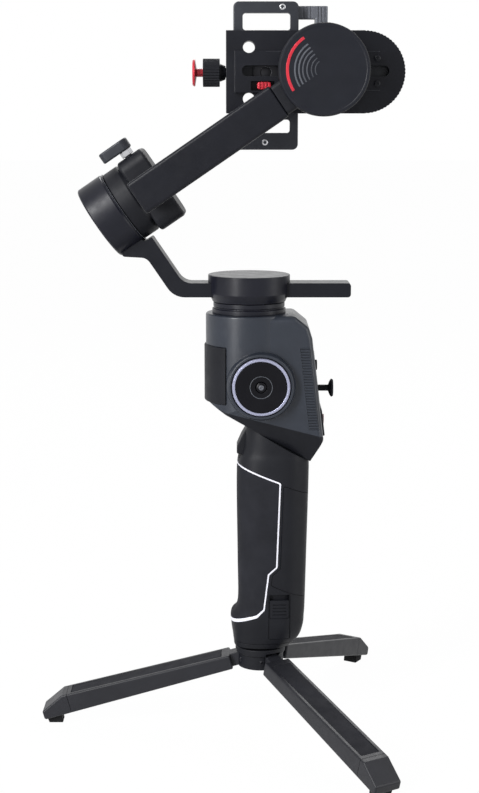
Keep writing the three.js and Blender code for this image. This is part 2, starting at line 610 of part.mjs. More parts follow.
function headInner() {
  const inset = WALL;
  const round = rod('z', [0, 0], HEAD_RADIUS - inset, CHIN_REAR_Z - 10, HEAD_TOP - inset, SIDES);
  const rear = plate('y', outline([
    [-5, HEAD_TOP - inset], [SHOULDER_X - 1, HEAD_TOP - inset], [HEAD_REAR_TOP - 4.6, HEAD_TOP - 9],
    [HEAD_REAR_TOP - inset - 0.4, HEAD_TOP - SHOULDER_DROP - 1], [HEAD_REAR - inset - 0.4, CHIN_FRONT_Z - 1],
    [LOW_CORNER[0] - 4, LOW_CORNER[1]], [LOW_CORNER[0] - 6, HEAD_LOW_Z], [-5, HEAD_LOW_Z],
  ]), -HEAD_HALF_DEPTH + inset, HEAD_HALF_DEPTH - inset);
  const keepAbove = plate('y', outline([
    [-60, chinZ(-2) + 34], [-27, chinZ(-2) + 19], [-2, CHIN_FRONT_Z + GAP + 3.5],
    [4, chinZ(4) - 10], [80, chinZ(80) - 10], [80, 100], [-60, 100],
  ]), -60, 60);
  return round.add(rear).subtract(keepAbove);
}

const rearSlope = (HEAD_REAR - HEAD_REAR_TOP) / (HEAD_TOP - SHOULDER_DROP - CHIN_FRONT_Z);
const rearX = (z) => HEAD_REAR - (z - CHIN_FRONT_Z) * rearSlope;

function panelSolid(grow) {
  const z0 = PANEL_BOTTOM - grow;
  const z1 = PANEL_TOP + grow;
  const face = outline([
    [rearX(z0) - PANEL_DEPTH - grow, z0], [rearX(z0) + 1.3, z0], [rearX(z0 + 15) + 1.3, z0 + 15],
    [rearX(z0 + 17) + 0.4, z0 + 17], [rearX(z1) + 0.4, z1], [rearX(z1) - PANEL_DEPTH - grow, z1],
  ]);
  return plate('y', face, -PANEL_HALF - grow, PANEL_HALF + grow);
}

function coverRegion(grow) {
  return block(-40, COVER_EDGE_X + grow, -40, 40, COVER_BOTTOM - grow, COVER_TOP + grow);
}

function headShells() {
  const boss = rod('y', [WHEEL_X, WHEEL_Z], BOSS_RADIUS, -HEAD_RADIUS - BOSS_DEPTH, -10, SIDES, 1);
  const pocket = rod('y', [WHEEL_X, WHEEL_Z], WHEEL_RADIUS + 0.8, -40, -HEAD_RADIUS + 2.5, SIDES);
  const spindleHole = rod('y', [WHEEL_X, WHEEL_Z], SPINDLE_RADIUS + GAP, -60, 0);
  const bossInside = rod('y', [WHEEL_X, WHEEL_Z], BOSS_RADIUS - WALL, -HEAD_RADIUS + 5, 0, SIDES);
  const shaftHole = rod('z', [0, 0], SHAFT_RADIUS + 1, HEAD_TOP - 30, HEAD_TOP + 10);
  const coverSeat = rod('z', [0, 0], HEAD_RADIUS - 0.9 - GAP, COVER_BOTTOM - 8, COVER_TOP + 8, MOTOR_SIDES);
  const coverRoom = coverRegion(GAP).subtract(coverSeat);
  const ventRoom = block(...ventBox(GAP));
  const headWall = headOuter().add(boss).subtract(headInner()).subtract(bossInside);
  const shell = headWall.subtract(pocket).subtract(spindleHole).subtract(shaftHole)
    .subtract(coverRoom).subtract(ventRoom).subtract(panelSolid(GAP)).subtract(controlHoles())
    .subtract(triggerRoom());
  add('head_shell_near', shell.intersect(block(-60, 60, -60, -GAP / 2, 0, 300)), 'plastic');
  let far = shell.intersect(block(-60, 60, GAP / 2, 60, 0, 300));
  for (const z of [BOARD_BOTTOM + 6, BOARD_TOP - 6]) {
    const middle = (BOARD_LEFT + BOARD_RIGHT) / 2;
    const standoff = rod('y', [middle, z], 2.5, BOARD_BACK + GAP, HEAD_HALF_DEPTH - 1);
    far = far.add(standoff);
  }
  add('head_shell_far', far, 'plastic');
}

function frontCover() {
  const low = COVER_BOTTOM - 8;
  const high = COVER_TOP + 8;
  const cover = rod('z', [0, 0], HEAD_RADIUS + COVER_THICK_OUT, low, high, MOTOR_SIDES)
    .subtract(rod('z', [0, 0], HEAD_RADIUS - 0.9, low - 1, high + 1, MOTOR_SIDES))
    .intersect(coverRegion(0));
  add('front_cover', cover, 'plastic');
}

function ventBox(grow) {
  const back = -HEAD_HALF_DEPTH + 1.2 + grow;
  const [left, right] = VENT_X;
  return [left - grow, right + grow, -HEAD_HALF_DEPTH - 5, back, VENT_BOTTOM - grow, VENT_TOP + grow];
}

function ventGrille() {
  const [x0, x1, , y1, z0, z1] = ventBox(0);
  let grille = block(x0, x1, -HEAD_HALF_DEPTH + 0.6, y1, z0, z1);
  const pitch = (z1 - z0) / VENT_RIBS;
  for (let i = 0; i < VENT_RIBS; i += 1) {
    const z = z0 + pitch * (i + 0.25);
    grille = grille.add(block(x0 + 0.5, x1 - 0.5, -HEAD_HALF_DEPTH - 0.2, y1, z, z + pitch / 2));
  }
  add('vent_grille', grille, 'plastic');
}

function joystickHole() {
  return rod('x', [0, JOYSTICK_Z], JOYSTICK_HOLE, HEAD_REAR - 12, HEAD_REAR + 12);
}

function buttonHole(z) {
  return rod('x', [0, z], BUTTON_RADIUS + GAP, HEAD_REAR - 12, HEAD_REAR + 12);
}

// The openings behind the panel, wide enough for the joystick's collar.
function controlHoles() {
  const collar = rod('x', [0, JOYSTICK_Z], JOYSTICK_COLLAR + GAP, HEAD_REAR - 12, HEAD_REAR);
  return collar.add(buttonHole(MODE_Z)).add(buttonHole(POWER_Z));
}

function controlPanel() {
  const holes = joystickHole().add(buttonHole(MODE_Z)).add(buttonHole(POWER_Z));
  add('control_panel', panelSolid(0).subtract(holes), 'glossy');
  const root = rearX(JOYSTICK_Z);
  const tip = root + JOYSTICK_LENGTH;
  add('joystick', turned('x', [0, JOYSTICK_Z], [
    [0, root - 5], [JOYSTICK_COLLAR, root - 5], [JOYSTICK_COLLAR, root - 3.2], [JOYSTICK_STEM, root - 3],
    [JOYSTICK_STEM, tip - 3], [JOYSTICK_RADIUS - 1.5, tip - 2.2], [JOYSTICK_RADIUS, tip - 1.2],
    [JOYSTICK_RADIUS - 0.8, tip], [0, tip + 0.2],
  ], SMALL_SIDES), 'rubber');
  const buttons = [['mode_button', MODE_Z, 1.5, 'rubber'], ['power_button', POWER_Z, 1.9, 'red']];
  for (const [name, z, rise, look] of buttons) {
    const seat = rearX(z);
    add(name, turned('x', [0, z], [
      [0, seat - 3], [BUTTON_RADIUS, seat - 3], [BUTTON_RADIUS, seat + rise - 0.5],
      [BUTTON_RADIUS - 0.6, seat + rise], [0, seat + rise],
    ], SMALL_SIDES), look);
  }
}

function followWheel() {
  const centre = [WHEEL_X, WHEEL_Z];
  const back = -HEAD_RADIUS + 2.2;
  const front = back - WHEEL_THICK;
  const step = front + 1.2;
  const ringRadius = WHEEL_RADIUS - WHEEL_RING;
  const disc = rod('y', centre, WHEEL_RADIUS - 0.6, step + 2, back, SIDES, 0.4)
    .add(rod('y', centre, ringRadius - 0.15, front, step + 3, SIDES, 0.5))
    .subtract(rod('y', centre, SPINDLE_RADIUS + GAP, -60, 0));
  add('follow_wheel', disc, 'glossy');
  add('wheel_ring', turned('y', centre, [
    [ringRadius + 0.15, front + 0.3], [WHEEL_RADIUS - 0.5, front + 0.3], [WHEEL_RADIUS, front + 0.8],
    [WHEEL_RADIUS, step + 1.7], [ringRadius + 0.15, step + 1.7], [ringRadius + 0.15, front + 0.3],
  ], MOTOR_SIDES), 'white');
  add('wheel_spindle', turned('y', centre, [
    [0, front - 0.4], [SPINDLE_RADIUS - 1.2, front - 0.4], [SPINDLE_RADIUS, front + 0.2],
    [SPINDLE_RADIUS, -HEAD_RADIUS + 8], [0, -HEAD_RADIUS + 8],
  ], SMALL_SIDES), 'steel');
}

function mainBoard() {
  const shape = roundedRect(BOARD_LEFT, BOARD_BOTTOM, BOARD_RIGHT, BOARD_TOP, 2);
  add('main_board', plate('y', shape, BOARD_BACK - 1.6, BOARD_BACK), 'green');
}

// ---------------------------------------------------------------- pan axis
function panMotor() {
  const bottom = HEAD_TOP + 0.05;
  const top = ROTOR_BOTTOM - GAP;
  const groove = bottom + COLLAR_HEIGHT / 2;
  const bore = SHAFT_RADIUS + 1;
  add('pan_collar', turned('z', [0, 0], [
    [bore, bottom], [COLLAR_RADIUS + 0.6, bottom], [COLLAR_RADIUS + 0.6, groove - 0.6],
    [COLLAR_RADIUS - 0.6, groove - 0.3], [COLLAR_RADIUS - 0.6, groove + 0.3], [COLLAR_RADIUS, groove + 0.6],
    [COLLAR_RADIUS, top], [bore, top], [bore, bottom],
  ], MOTOR_SIDES), 'glossy');
  const coreTop = HEAD_TOP - WALL - GAP;
  const coreBottom = coreTop - CORE_HEIGHT;
  const core = tube('z', [0, 0], SHAFT_RADIUS + 1.2, CORE_RADIUS + 0.2, coreBottom, coreTop, SIDES);
  add('pan_stator_core', core, 'copper');
  const shaft = rod('z', [0, 0], SHAFT_RADIUS, coreTop - 12, ROTOR_BOTTOM - 0.05, SMALL_SIDES, 0.5);
  add('pan_shaft', shaft, 'steel');
}

const barZ0 = PAN_BAR_Z - PAN_BAR_THICK / 2;
const barZ1 = PAN_BAR_Z + PAN_BAR_THICK / 2;

function panRotor() {
  const cap = turned('z', [0, 0], [
    [0, ROTOR_BOTTOM], [ROTOR_RADIUS - 2.6, ROTOR_BOTTOM], [ROTOR_RADIUS - 2.2, ROTOR_BOTTOM + 1],
    [ROTOR_RADIUS, ROTOR_BOTTOM + 5], [ROTOR_RADIUS, ROTOR_TOP - 0.8], [ROTOR_RADIUS - 0.7, ROTOR_TOP],
    [0, ROTOR_TOP],
  ], MOTOR_SIDES);
  const half = PAN_BAR_WIDTH / 2 + GAP;
  const tunnel = block(-40, 40, -half, half, barZ0 - GAP, barZ1 + GAP);
  const leverHole = rod('y', [0, PAN_BAR_Z], STEM_RADIUS + GAP, half - 1, 40);
  add('pan_rotor', cap.subtract(tunnel).subtract(leverHole), 'glossy');
}

function leverOutline(x, z, length) {
  const arm = new THREE.Shape();
  arm.absarc(x, z, LEVER_ROOT_RADIUS, Math.PI / 2, Math.PI * 1.5);
  arm.lineTo(x + length, z - LEVER_TIP_RADIUS);
  arm.absarc(x + length, z, LEVER_TIP_RADIUS, -Math.PI / 2, Math.PI / 2);
  arm.closePath();
  return arm;
}

function clampLever(sign) {
  const handle = plate('z', leverOutline(0, 0, LEVER_LENGTH), 3.6, 9.8, 0.8, 6);
  const nut = rod('z', [0, 0], NUT_RADIUS, 0.3, 3.7, 6);
  const stem = rod('z', [0, 0], STEM_RADIUS, -6, 0.4);
  return handle.add(nut).add(stem).scale([sign, 1, 1]);
}

function panLever() {
  const seat = ROTOR_RADIUS - 0.2;
  add('pan_lever', clampLever(1).rotate([-90, 0, 0]).translate([0, seat, PAN_BAR_Z]), 'grey');
}

function panArm() {
  const along = new THREE.Vector2(Math.cos(rollAngle), Math.sin(rollAngle));
  const across = new THREE.Vector2(-along.y, along.x);
  const centre = new THREE.Vector2(...ROLL_CENTRE);
  const onRiser = (u, v) => centre.clone().addScaledVector(along, u).addScaledVector(across, v);
  const meet = (u, z) => {
    const start = onRiser(u, 0);
    return onRiser(u, (z - start.y) / across.y);
  };
  const top = -ROLL_RADIUS - GAP;
  const inside = meet(RISER_END, barZ1);
  const outside = meet(RISER_START, barZ0);
  const bevel = 1.6;
  const shape = new THREE.Shape();
  shape.moveTo(PAN_BAR_END, barZ0 + bevel);
  shape.lineTo(PAN_BAR_END, barZ1 - bevel);
  shape.lineTo(PAN_BAR_END - bevel * 1.5, barZ1);
  shape.lineTo(inside.x + 4, barZ1);
  const before = onRiser(RISER_END, -ROLL_RADIUS - 24);
  shape.quadraticCurveTo(inside.x, inside.y, before.x, before.y);
  const lugEnd = onRiser(RISER_END, top - 1);
  const lugTop = onRiser(ROLL_FRONT + 1.5, top + 0.2);
  const lugBack = onRiser(-4.5, top + 0.2);
  const lugLow = onRiser(-3, top - 3);
  const lugJoin = onRiser(RISER_START, top - 9);
  for (const point of [lugEnd, lugTop, lugBack, lugLow, lugJoin]) shape.lineTo(point.x, point.y);
  const low = onRiser(RISER_START, -ROLL_RADIUS - 22);
  shape.lineTo(low.x, low.y);
  shape.quadraticCurveTo(outside.x, outside.y, outside.x + 10, barZ0);
  shape.lineTo(PAN_BAR_END - bevel * 1.5, barZ0);
  shape.closePath();
  const bar = plate('y', shape, -PAN_BAR_WIDTH / 2, PAN_BAR_WIDTH / 2, 0.8, 5);
  add('pan_arm', bar, 'anodised');
}

// ---------------------------------------------------------------- roll axis (drawn along local X)
function rollMotor() {
  const floor = ROLL_BACK + 3;
  const housing = turned('x', [0, 0], [
    [0, ROLL_BACK], [ROLL_RADIUS - 1, ROLL_BACK], [ROLL_RADIUS, ROLL_BACK + 1],
    [ROLL_RADIUS, ROLL_FRONT - 0.8], [ROLL_RADIUS - 0.6, ROLL_FRONT], [ROLL_BORE, ROLL_FRONT],
    [ROLL_BORE, floor], [0, floor],
  ], MOTOR_SIDES);
  add('roll_housing', housing, 'glossy', rollFrame);
  const core = tube('x', [0, 0], SHAFT_RADIUS + 1, CORE_RADIUS, floor + GAP, ROLL_FRONT - 1, SIDES);
  add('roll_stator_core', core, 'copper', rollFrame);
  const shaft = rod('x', [0, 0], SHAFT_RADIUS, floor + GAP, ROLL_FRONT + GAP - 0.05, SMALL_SIDES, 0.5);
  add('roll_shaft', shaft, 'steel', rollFrame);
}

function rollClamp() {
  const disc = rod('x', [0, 0], ROLL_RADIUS - 1, ROLL_FRONT + GAP, ROLL_CLAMP_START + 0.5, MOTOR_SIDES, 0.6);
  const half = ROLL_CLAMP_HALF_DEPTH;
  const yoke = plate('x', roundedRect(-half, ROLL_CLAMP_LOW, half, ROLL_CLAMP_HIGH, 7),
    ROLL_CLAMP_START, ROLL_CLAMP_END, 1.5, 4);
  const tunnelHalf = ARM_HALF_WIDTH + GAP;
  const tunnel = block(ARM_START - GAP, ARM_START + ARM_THICK + GAP, -60, 60, -tunnelHalf, tunnelHalf);
  const leverHole = rod('z', [ARM_MIDDLE, ROLL_LEVER_Y], STEM_RADIUS + GAP, ARM_HALF_WIDTH + 2, 60);
  add('roll_clamp', disc.add(yoke).subtract(tunnel).subtract(leverHole), 'plastic', rollFrame);
  add('roll_lever', clampLever(-1).translate([ARM_MIDDLE, ROLL_LEVER_Y, ROLL_CLAMP_HIGH]), 'grey', rollFrame);
}

function rollArm() {
  const half = ARM_HALF_WIDTH;
  const beamFar = ARM_NEAR + BEAM_DEPTH;
  const slideEnd = ARM_START + ARM_THICK;
  const slide = plate('x', roundedRect(ARM_NEAR + 2, -half, ARM_FAR, half, 2), ARM_START, slideEnd, 0.6, 3);
  const beam = plate('x', roundedRect(ARM_NEAR, -half, beamFar, half, 2.5), ARM_START, BEAM_END, 0.8, 4);
  add('roll_arm', slide.add(beam), 'anodised', rollFrame);
  const neck = plate('x', roundedRect(ARM_NEAR + 0.6, -half + 0.9, beamFar - 0.4, half - 0.9, 2),
    BEAM_END + 0.05, rollReach - 12);
  const centre = [rollReach, 0];
  const floor = TILT_BACK - 3;
  const motor = turned('y', centre, [
    [0, floor], [TILT_BORE, floor], [TILT_BORE, TILT_FRONT], [TILT_RADIUS - 0.4, TILT_FRONT],
    [TILT_RADIUS, TILT_FRONT + 1], [TILT_RADIUS, TILT_BACK - 2], [TILT_RADIUS - 2, TILT_BACK], [0, TILT_BACK],
  ], MOTOR_SIDES);
  const shaftHole = rod('y', centre, SHAFT_RADIUS + GAP, TILT_BACK - 10, TILT_BACK + 5);
  const cavity = rod('y', centre, TILT_BORE, TILT_FRONT - 5, floor, MOTOR_SIDES);
  add('tilt_housing', neck.subtract(cavity).add(motor).subtract(shaftHole), 'plastic', rollFrame);
}

// ---------------------------------------------------------------- tilt axis
function tiltMotor() {
  const face = TILT_FRONT - COVER_THICK;
  add('tilt_cover', turned('y', TILT_CENTRE, [
    [0, face], [TILT_RADIUS - 1, face], [TILT_RADIUS - 0.3, face + 0.7],
    [TILT_RADIUS - 0.3, TILT_FRONT - 0.05], [0, TILT_FRONT - 0.05],
  ], MOTOR_SIDES), 'glossy');
  const front = TILT_FRONT + 1;
  const core = tube('y', TILT_CENTRE, SHAFT_RADIUS + 1, CORE_RADIUS, front, TILT_BACK - 3 - GAP, SIDES);
  add('tilt_stator_core', core, 'copper');
  const shaft = rod('y', TILT_CENTRE, SHAFT_RADIUS, front, TILT_CLAMP_FRONT - 0.05, SMALL_SIDES, 0.5);
  add('tilt_shaft', shaft, 'steel');
}

function tiltClamp() {
  const [x, z] = TILT_CENTRE;
  const discBack = CHANNEL_FRONT - GAP;
  const disc = rod('y', TILT_CENTRE, TILT_CLAMP_RADIUS, TILT_CLAMP_FRONT, discBack, MOTOR_SIDES, 0.8);
  const lip = CHANNEL_HALF_HEIGHT + GAP;
  const railFront = CHANNEL_FRONT - 1;
  const rails = rod('y', TILT_CENTRE, TILT_CLAMP_RADIUS - 0.5, railFront, BRACKET_FRONT - GAP, MOTOR_SIDES)
    .subtract(block(x - 40, x + 40, -100, 0, z - lip, z + lip));
  const hole = rod('y', TILT_CENTRE, STEM_RADIUS + GAP, TILT_CLAMP_FRONT + 3, 0);
  add('tilt_clamp', disc.add(rails).subtract(hole), 'plastic');
  const leverFront = BRACKET_BACK + GAP;
  const stem = rod('y', TILT_CENTRE, STEM_RADIUS, CHANNEL_FRONT - 4, leverFront + 0.6);
  const lever = plate('y', leverOutline(x, z, TILT_LEVER_LENGTH), leverFront, leverFront + 5.7, 0.8, 6);
  add('tilt_lever', lever.add(stem), 'grey');
}

function bracketOutline(halfHeight, left, right) {
  const z = TILT_CENTRE[1] - 0.5;
  const shape = new THREE.Shape();
  shape.moveTo(left, z - halfHeight);
  shape.lineTo(right - BRACKET_HALF_HEIGHT, z - halfHeight);
  shape.absarc(right - BRACKET_HALF_HEIGHT, z, halfHeight, -Math.PI / 2, Math.PI / 2);
  shape.lineTo(left, z + halfHeight);
  shape.closePath();
  return shape;
}

function plateHoles() {
  const z = TILT_CENTRE[1] - 1;
  const holes = [1, -1].map((side) => rod('y', [HOLE_X, z + side * HOLE_SPREAD], HOLE_RADIUS, -80, 0));
  return holes[0].add(holes[1]);
}

function tiltBracket() {
  const z = TILT_CENTRE[1];
  const base = plate('y', bracketOutline(BRACKET_HALF_HEIGHT, BRACKET_LEFT, BRACKET_RIGHT),
    BRACKET_FRONT, BRACKET_BACK, 0.6, 12);
  const channelEnd = plate('y', bracketOutline(BRACKET_HALF_HEIGHT - 0.5, BRACKET_LEFT, BRACKET_RIGHT - 0.5),
    CHANNEL_FRONT - 1, BRACKET_BACK, 0, 12);
  const channel = block(SLOT_LEFT - 4.2, BRACKET_RIGHT - 1.5, CHANNEL_FRONT, BRACKET_FRONT + 1,
    z - CHANNEL_HALF_HEIGHT, z + CHANNEL_HALF_HEIGHT).intersect(channelEnd);
  const railLeft = PLATE_RIGHT + GAP;
  const rail = block(railLeft, railLeft + RAIL_THICK, BRACKET_BACK - 1, PLATE_BACK,
    z - JAW_HALF_HEIGHT, z + JAW_HALF_HEIGHT);
  const slotOutline = roundedRect(SLOT_LEFT, z - SLOT_HALF_HEIGHT, SLOT_RIGHT, z + SLOT_HALF_HEIGHT, 2.7);
  const slot = plate('y', slotOutline, -80, 0);
  const knobHole = rod('x', knobCentre, STUD_RADIUS + GAP, BRACKET_LEFT - 20, PLATE_LEFT + 1);
  const latchRoom = block(...latchBox(GAP)).add(block(...latchBox(GAP)).translate([-SAFETY_TRAVEL, 0, 0]));
  const bracket = base.add(channel).add(rail).subtract(slot).subtract(plateHoles())
    .subtract(knobHole).subtract(latchRoom);
  add('tilt_bracket', bracket, 'anodised');
}

function latchBox(grow) {
  const left = SLOT_LEFT + 8;
  const right = left + 9;
  const low = TILT_CENTRE[1] - CHANNEL_HALF_HEIGHT + 1;
  const back = BRACKET_FRONT + 2 + grow;
  return [left - grow, right + grow, CHANNEL_FRONT - 5, back, low - grow, low + 4.4 + grow];
}

const knobCentre = [PLATE_FRONT + PLATE_THICK / 2 - GAP, KNOB_Z];

function clampPieces() {
  const z = TILT_CENTRE[1];
  const jawRight = PLATE_LEFT - GAP;
  const half = JAW_HALF_HEIGHT;
  const jaw = block(BRACKET_LEFT, jawRight, PLATE_FRONT, PLATE_BACK, z - half, z + half)
    .subtract(rod('x', knobCentre, STUD_RADIUS + GAP, BRACKET_LEFT - 20, PLATE_LEFT + 1));
  add('clamp_jaw', jaw, 'anodised');
  const knobRight = BRACKET_LEFT - 3.4;
  const knobLeft = knobRight - KNOB_LENGTH;
  const studEnd = PLATE_LEFT - GAP - 0.4;
  const knob = turned('x', knobCentre, [
    [0, knobLeft], [KNOB_RADIUS - 0.8, knobLeft], [KNOB_RADIUS, knobLeft + 0.8],
    [KNOB_RADIUS, knobRight - 0.8], [KNOB_RADIUS - 0.8, knobRight], [4.6, knobRight],
    [3.6, BRACKET_LEFT - GAP], [STUD_RADIUS, BRACKET_LEFT - GAP], [STUD_RADIUS, studEnd], [0, studEnd],
  ], SIDES);
  const pinHole = rod('x', knobCentre, SAFETY_PIN_RADIUS + GAP, knobLeft - 1, knobLeft + 6);
  add('jaw_knob', knob.subtract(pinHole), 'plastic');
  const pinRim = KNOB_RADIUS - 0.3;
  add('safety_pin', turned('x', knobCentre, [
    [0, knobLeft - 5.6], [pinRim - 0.7, knobLeft - 5.6], [pinRim, knobLeft - 4.8], [pinRim, knobLeft - 4.2],
    [SAFETY_PIN_RADIUS, knobLeft - 3.6], [SAFETY_PIN_RADIUS, knobLeft + 2.6], [0, knobLeft + 2.6],
  ], SMALL_SIDES), 'red');
  const [x0, x1, , y1, z0, z1] = latchBox(0);
  const tab = plate('y', roundedRect(x0, z0, x1, z1, 1.6), CHANNEL_FRONT - 1.6, y1 - GAP, 0.5, 4);
  add('safety_latch', tab, 'red');
}

// A camera lies on the raised pad of the plate, held by the screw and turned true by the stop.
function quickPlate() {
  const outlineShape = roundedRect(PLATE_LEFT, PLATE_BOTTOM, PLATE_RIGHT, PLATE_TOP, 3);
  let frame = plate('y', outlineShape, PLATE_FRONT, PLATE_BACK, 0.6, 4);
  const pad = block(PLATE_LEFT + 2, PLATE_RIGHT - 2, PLATE_BACK - 1, PLATE_BACK + PAD_RISE,
    PLATE_WINDOWS[1][1] + 3, PLATE_WINDOWS[0][0] - 3);
  frame = frame.add(pad);
  for (const [z0, z1] of PLATE_WINDOWS) {
    const shape = roundedRect(PLATE_LEFT + PLATE_BORDER, z0, PLATE_RIGHT - PLATE_BORDER + 0.6, z1, 1.5);
    frame = frame.subtract(plate('y', shape, -80, 0, 0, 3));
  }
  const slotHalf = CAMERA_SCREW_RADIUS + 0.5;
  const slotTop = TILT_CENTRE[1] + 10;
  const slotLow = slotTop - 24;
  const middle = PLATE_MIDDLE;
  const slotOutline = roundedRect(middle - slotHalf, slotLow, middle + slotHalf, slotTop, slotHalf - 0.1);
  add('quick_plate', frame.subtract(plate('y', slotOutline, -80, 0, 0, 4)).subtract(plateHoles()), 'grey');
  const tip = PLATE_BACK + PAD_RISE + 5;
  add('camera_screw', turned('y', [PLATE_MIDDLE, KNOB_Z], [
    [0, PLATE_FRONT + 0.6], [CAMERA_SCREW_RADIUS, PLATE_FRONT + 0.6], [CAMERA_SCREW_RADIUS, tip - 0.6],
    [CAMERA_SCREW_RADIUS - 0.6, tip], [0, tip],
  ], SMALL_SIDES), 'steel');
  const stopTop = PLATE_TOP - 2;
  const stopFront = PLATE_BACK + GAP;
  const lugLeft = PLATE_RIGHT - 3.6;
  const lugLow = stopTop - STOP_LUG_HEIGHT;
  const lug = block(lugLeft, STOP_RIGHT, stopFront, stopFront + STOP_THICK, lugLow, stopTop);
  const post = block(STOP_RIGHT - STOP_POST_WIDTH, STOP_RIGHT, stopFront, stopFront + STOP_THICK + 9,
    stopTop - STOP_POST_HEIGHT, stopTop);
  add('camera_stop', lug.add(post), 'grey');
}

// ---------------------------------------------------------------- assembly
tripodHub();
tripodScrew();
tripodLegs();
handleShells();
gripPieces();
batteryPieces();
basePieces();
trigger();
headShells();
frontCover();
ventGrille();
controlPanel();
followWheel();
mainBoard();
panMotor();
panRotor();
panLever();
panArm();
rollMotor();
rollClamp();
rollArm();
tiltMotor();
tiltClamp();
tiltBracket();
clampPieces();
quickPlate();

// The origin is under the middle of the whole object, on the ground.
gimbal.updateMatrixWorld(true);
const bounds = new THREE.Box3().setFromObject(gimbal, true);
const root = new THREE.Group();
const middle = bounds.getCenter(new THREE.Vector3());
gimbal.position.set(-middle.x, -middle.y, -bounds.min.z);
root.add(gimbal);

export default root;
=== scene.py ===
"""Looks of the gimbal stabilizer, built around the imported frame.

Shapes are in millimetres, from the pan axis and the floor.
"""
import json
from math import atan2, cos, pi, radians, sin, tan

import bmesh
import bpy
from mathutils import Matrix, Vector


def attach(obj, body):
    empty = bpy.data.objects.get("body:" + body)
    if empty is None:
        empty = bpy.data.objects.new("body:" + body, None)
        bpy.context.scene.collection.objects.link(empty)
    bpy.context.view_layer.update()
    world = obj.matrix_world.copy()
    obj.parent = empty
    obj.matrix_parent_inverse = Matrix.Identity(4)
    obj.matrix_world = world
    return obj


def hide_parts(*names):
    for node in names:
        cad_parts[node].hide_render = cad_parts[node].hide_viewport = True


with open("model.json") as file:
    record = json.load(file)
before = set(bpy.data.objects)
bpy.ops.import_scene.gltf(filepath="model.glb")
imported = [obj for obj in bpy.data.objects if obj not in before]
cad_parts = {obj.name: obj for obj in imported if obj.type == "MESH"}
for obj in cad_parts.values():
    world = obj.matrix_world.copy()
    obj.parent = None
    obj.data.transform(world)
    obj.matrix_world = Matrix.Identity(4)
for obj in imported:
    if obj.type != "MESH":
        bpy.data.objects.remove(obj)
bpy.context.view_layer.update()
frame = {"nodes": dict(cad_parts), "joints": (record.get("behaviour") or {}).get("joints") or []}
joints = {j["name"]: j for j in frame["joints"]}
nodes = frame["nodes"]

# ---- places
MM = 0.001
GAP = 0.3
WALL = 2.4
pan_at = Vector(joints["pan_axis"]["pos_m"])
roll_at = Vector(joints["roll_axis"]["pos_m"])
roll_axis = Vector(joints["roll_axis"]["axis"])
tilt_at = Vector(joints["tilt_axis"]["pos_m"])
roll_angle = atan2(roll_axis.z, roll_axis.x)
PAN = Matrix.Translation((pan_at.x, pan_at.y, 0)) @ Matrix.Scale(MM, 4)
ROLL = Matrix.Translation(roll_at) @ Matrix.Rotation(-roll_angle, 4, "Y") @ Matrix.Scale(MM, 4)
ROLL_REACH = ((tilt_at.x - roll_at.x) ** 2 + (tilt_at.z - roll_at.z) ** 2) ** 0.5 / MM
TILT = ((tilt_at.x - pan_at.x) / MM, tilt_at.z / MM)


# ---- outlines
def rounded(points, radius, steps=4, closed=True):
    """The same outline with every corner turned into an arc."""
    result = []
    count = len(points)
    for i, point in enumerate(points):
        corner = Vector(point)
        if not closed and i in (0, count - 1):
            result.append(tuple(corner))
            continue
        back = Vector(points[i - 1]) - corner
        ahead = Vector(points[(i + 1) % count]) - corner
        turn = pi - back.angle(ahead)
        if turn < 0.04:
            result.append(tuple(corner))
            continue
        reach = min(radius * tan(turn / 2), 0.48 * back.length, 0.48 * ahead.length)
        start = corner + back.normalized() * reach
        end = corner + ahead.normalized() * reach
        centre = corner + (back.normalized() + ahead.normalized()).normalized() * (reach / sin(turn / 2))
        from_angle = atan2(*(start - centre).yx)
        sweep = (atan2(*(end - centre).yx) - from_angle + pi) % (2 * pi) - pi
        size = (start - centre).length
        for k in range(steps + 1):
            angle = from_angle + sweep * k / steps
            result.append((centre.x + size * cos(angle), centre.y + size * sin(angle)))
    return result


def arc(a, b, radius, start, end, steps=16):
    """Points of an arc about (a, b), between two angles in degrees."""
    turns = [radians(start + (end - start) * k / steps) for k in range(steps + 1)]
    return [(a + radius * cos(t), b + radius * sin(t)) for t in turns]


def box_outline(a0, b0, a1, b1, radius=0, steps=6):
    corners = [(a0, b0), (a1, b0), (a1, b1), (a0, b1)]
    return rounded(corners, radius, steps) if radius else corners


def grown(points, amount):
    """A closed outline moved outward by an amount, or inward by a negative one."""
    area = sum(p[0] * q[1] - q[0] * p[1] for p, q in zip(points, points[1:] + points[:1]))
    side = 1 if area > 0 else -1
    result = []
    for i, point in enumerate(points):
        back = (Vector(point) - Vector(points[i - 1])).normalized()
        ahead = (Vector(points[(i + 1) % len(points)]) - Vector(point)).normalized()
        normal = Vector((back.y + ahead.y, -back.x - ahead.x)).normalized() * side
        stretch = max(0.4, abs(normal.dot(Vector((ahead.y, -ahead.x)))))
        result.append(tuple(Vector(point) + normal * amount / stretch))
    return result


# ---- solids
def new_solid(vertices, faces):
    """One closed mesh, with its doubled points merged and its faces turned outward."""
    mesh = bpy.data.meshes.new("solid")
    mesh.from_pydata(vertices, [], faces)
    work = bmesh.new()
    work.from_mesh(mesh)
    bmesh.ops.remove_doubles(work, verts=work.verts, dist=1e-4)
    bmesh.ops.dissolve_degenerate(work, edges=work.edges, dist=1e-5)
    bmesh.ops.recalc_face_normals(work, faces=work.faces)
    work.to_mesh(mesh)
    work.free()
    solid = bpy.data.objects.new("solid", mesh)
    bpy.context.scene.collection.objects.link(solid)
    return solid


def apply_modifiers(solid):
    """Replaces the mesh by what its modifiers make of it."""
    graph = bpy.context.evaluated_depsgraph_get()
    mesh = bpy.data.meshes.new_from_object(solid.evaluated_get(graph))
    solid.modifiers.clear()
    solid.data = mesh
    return solid


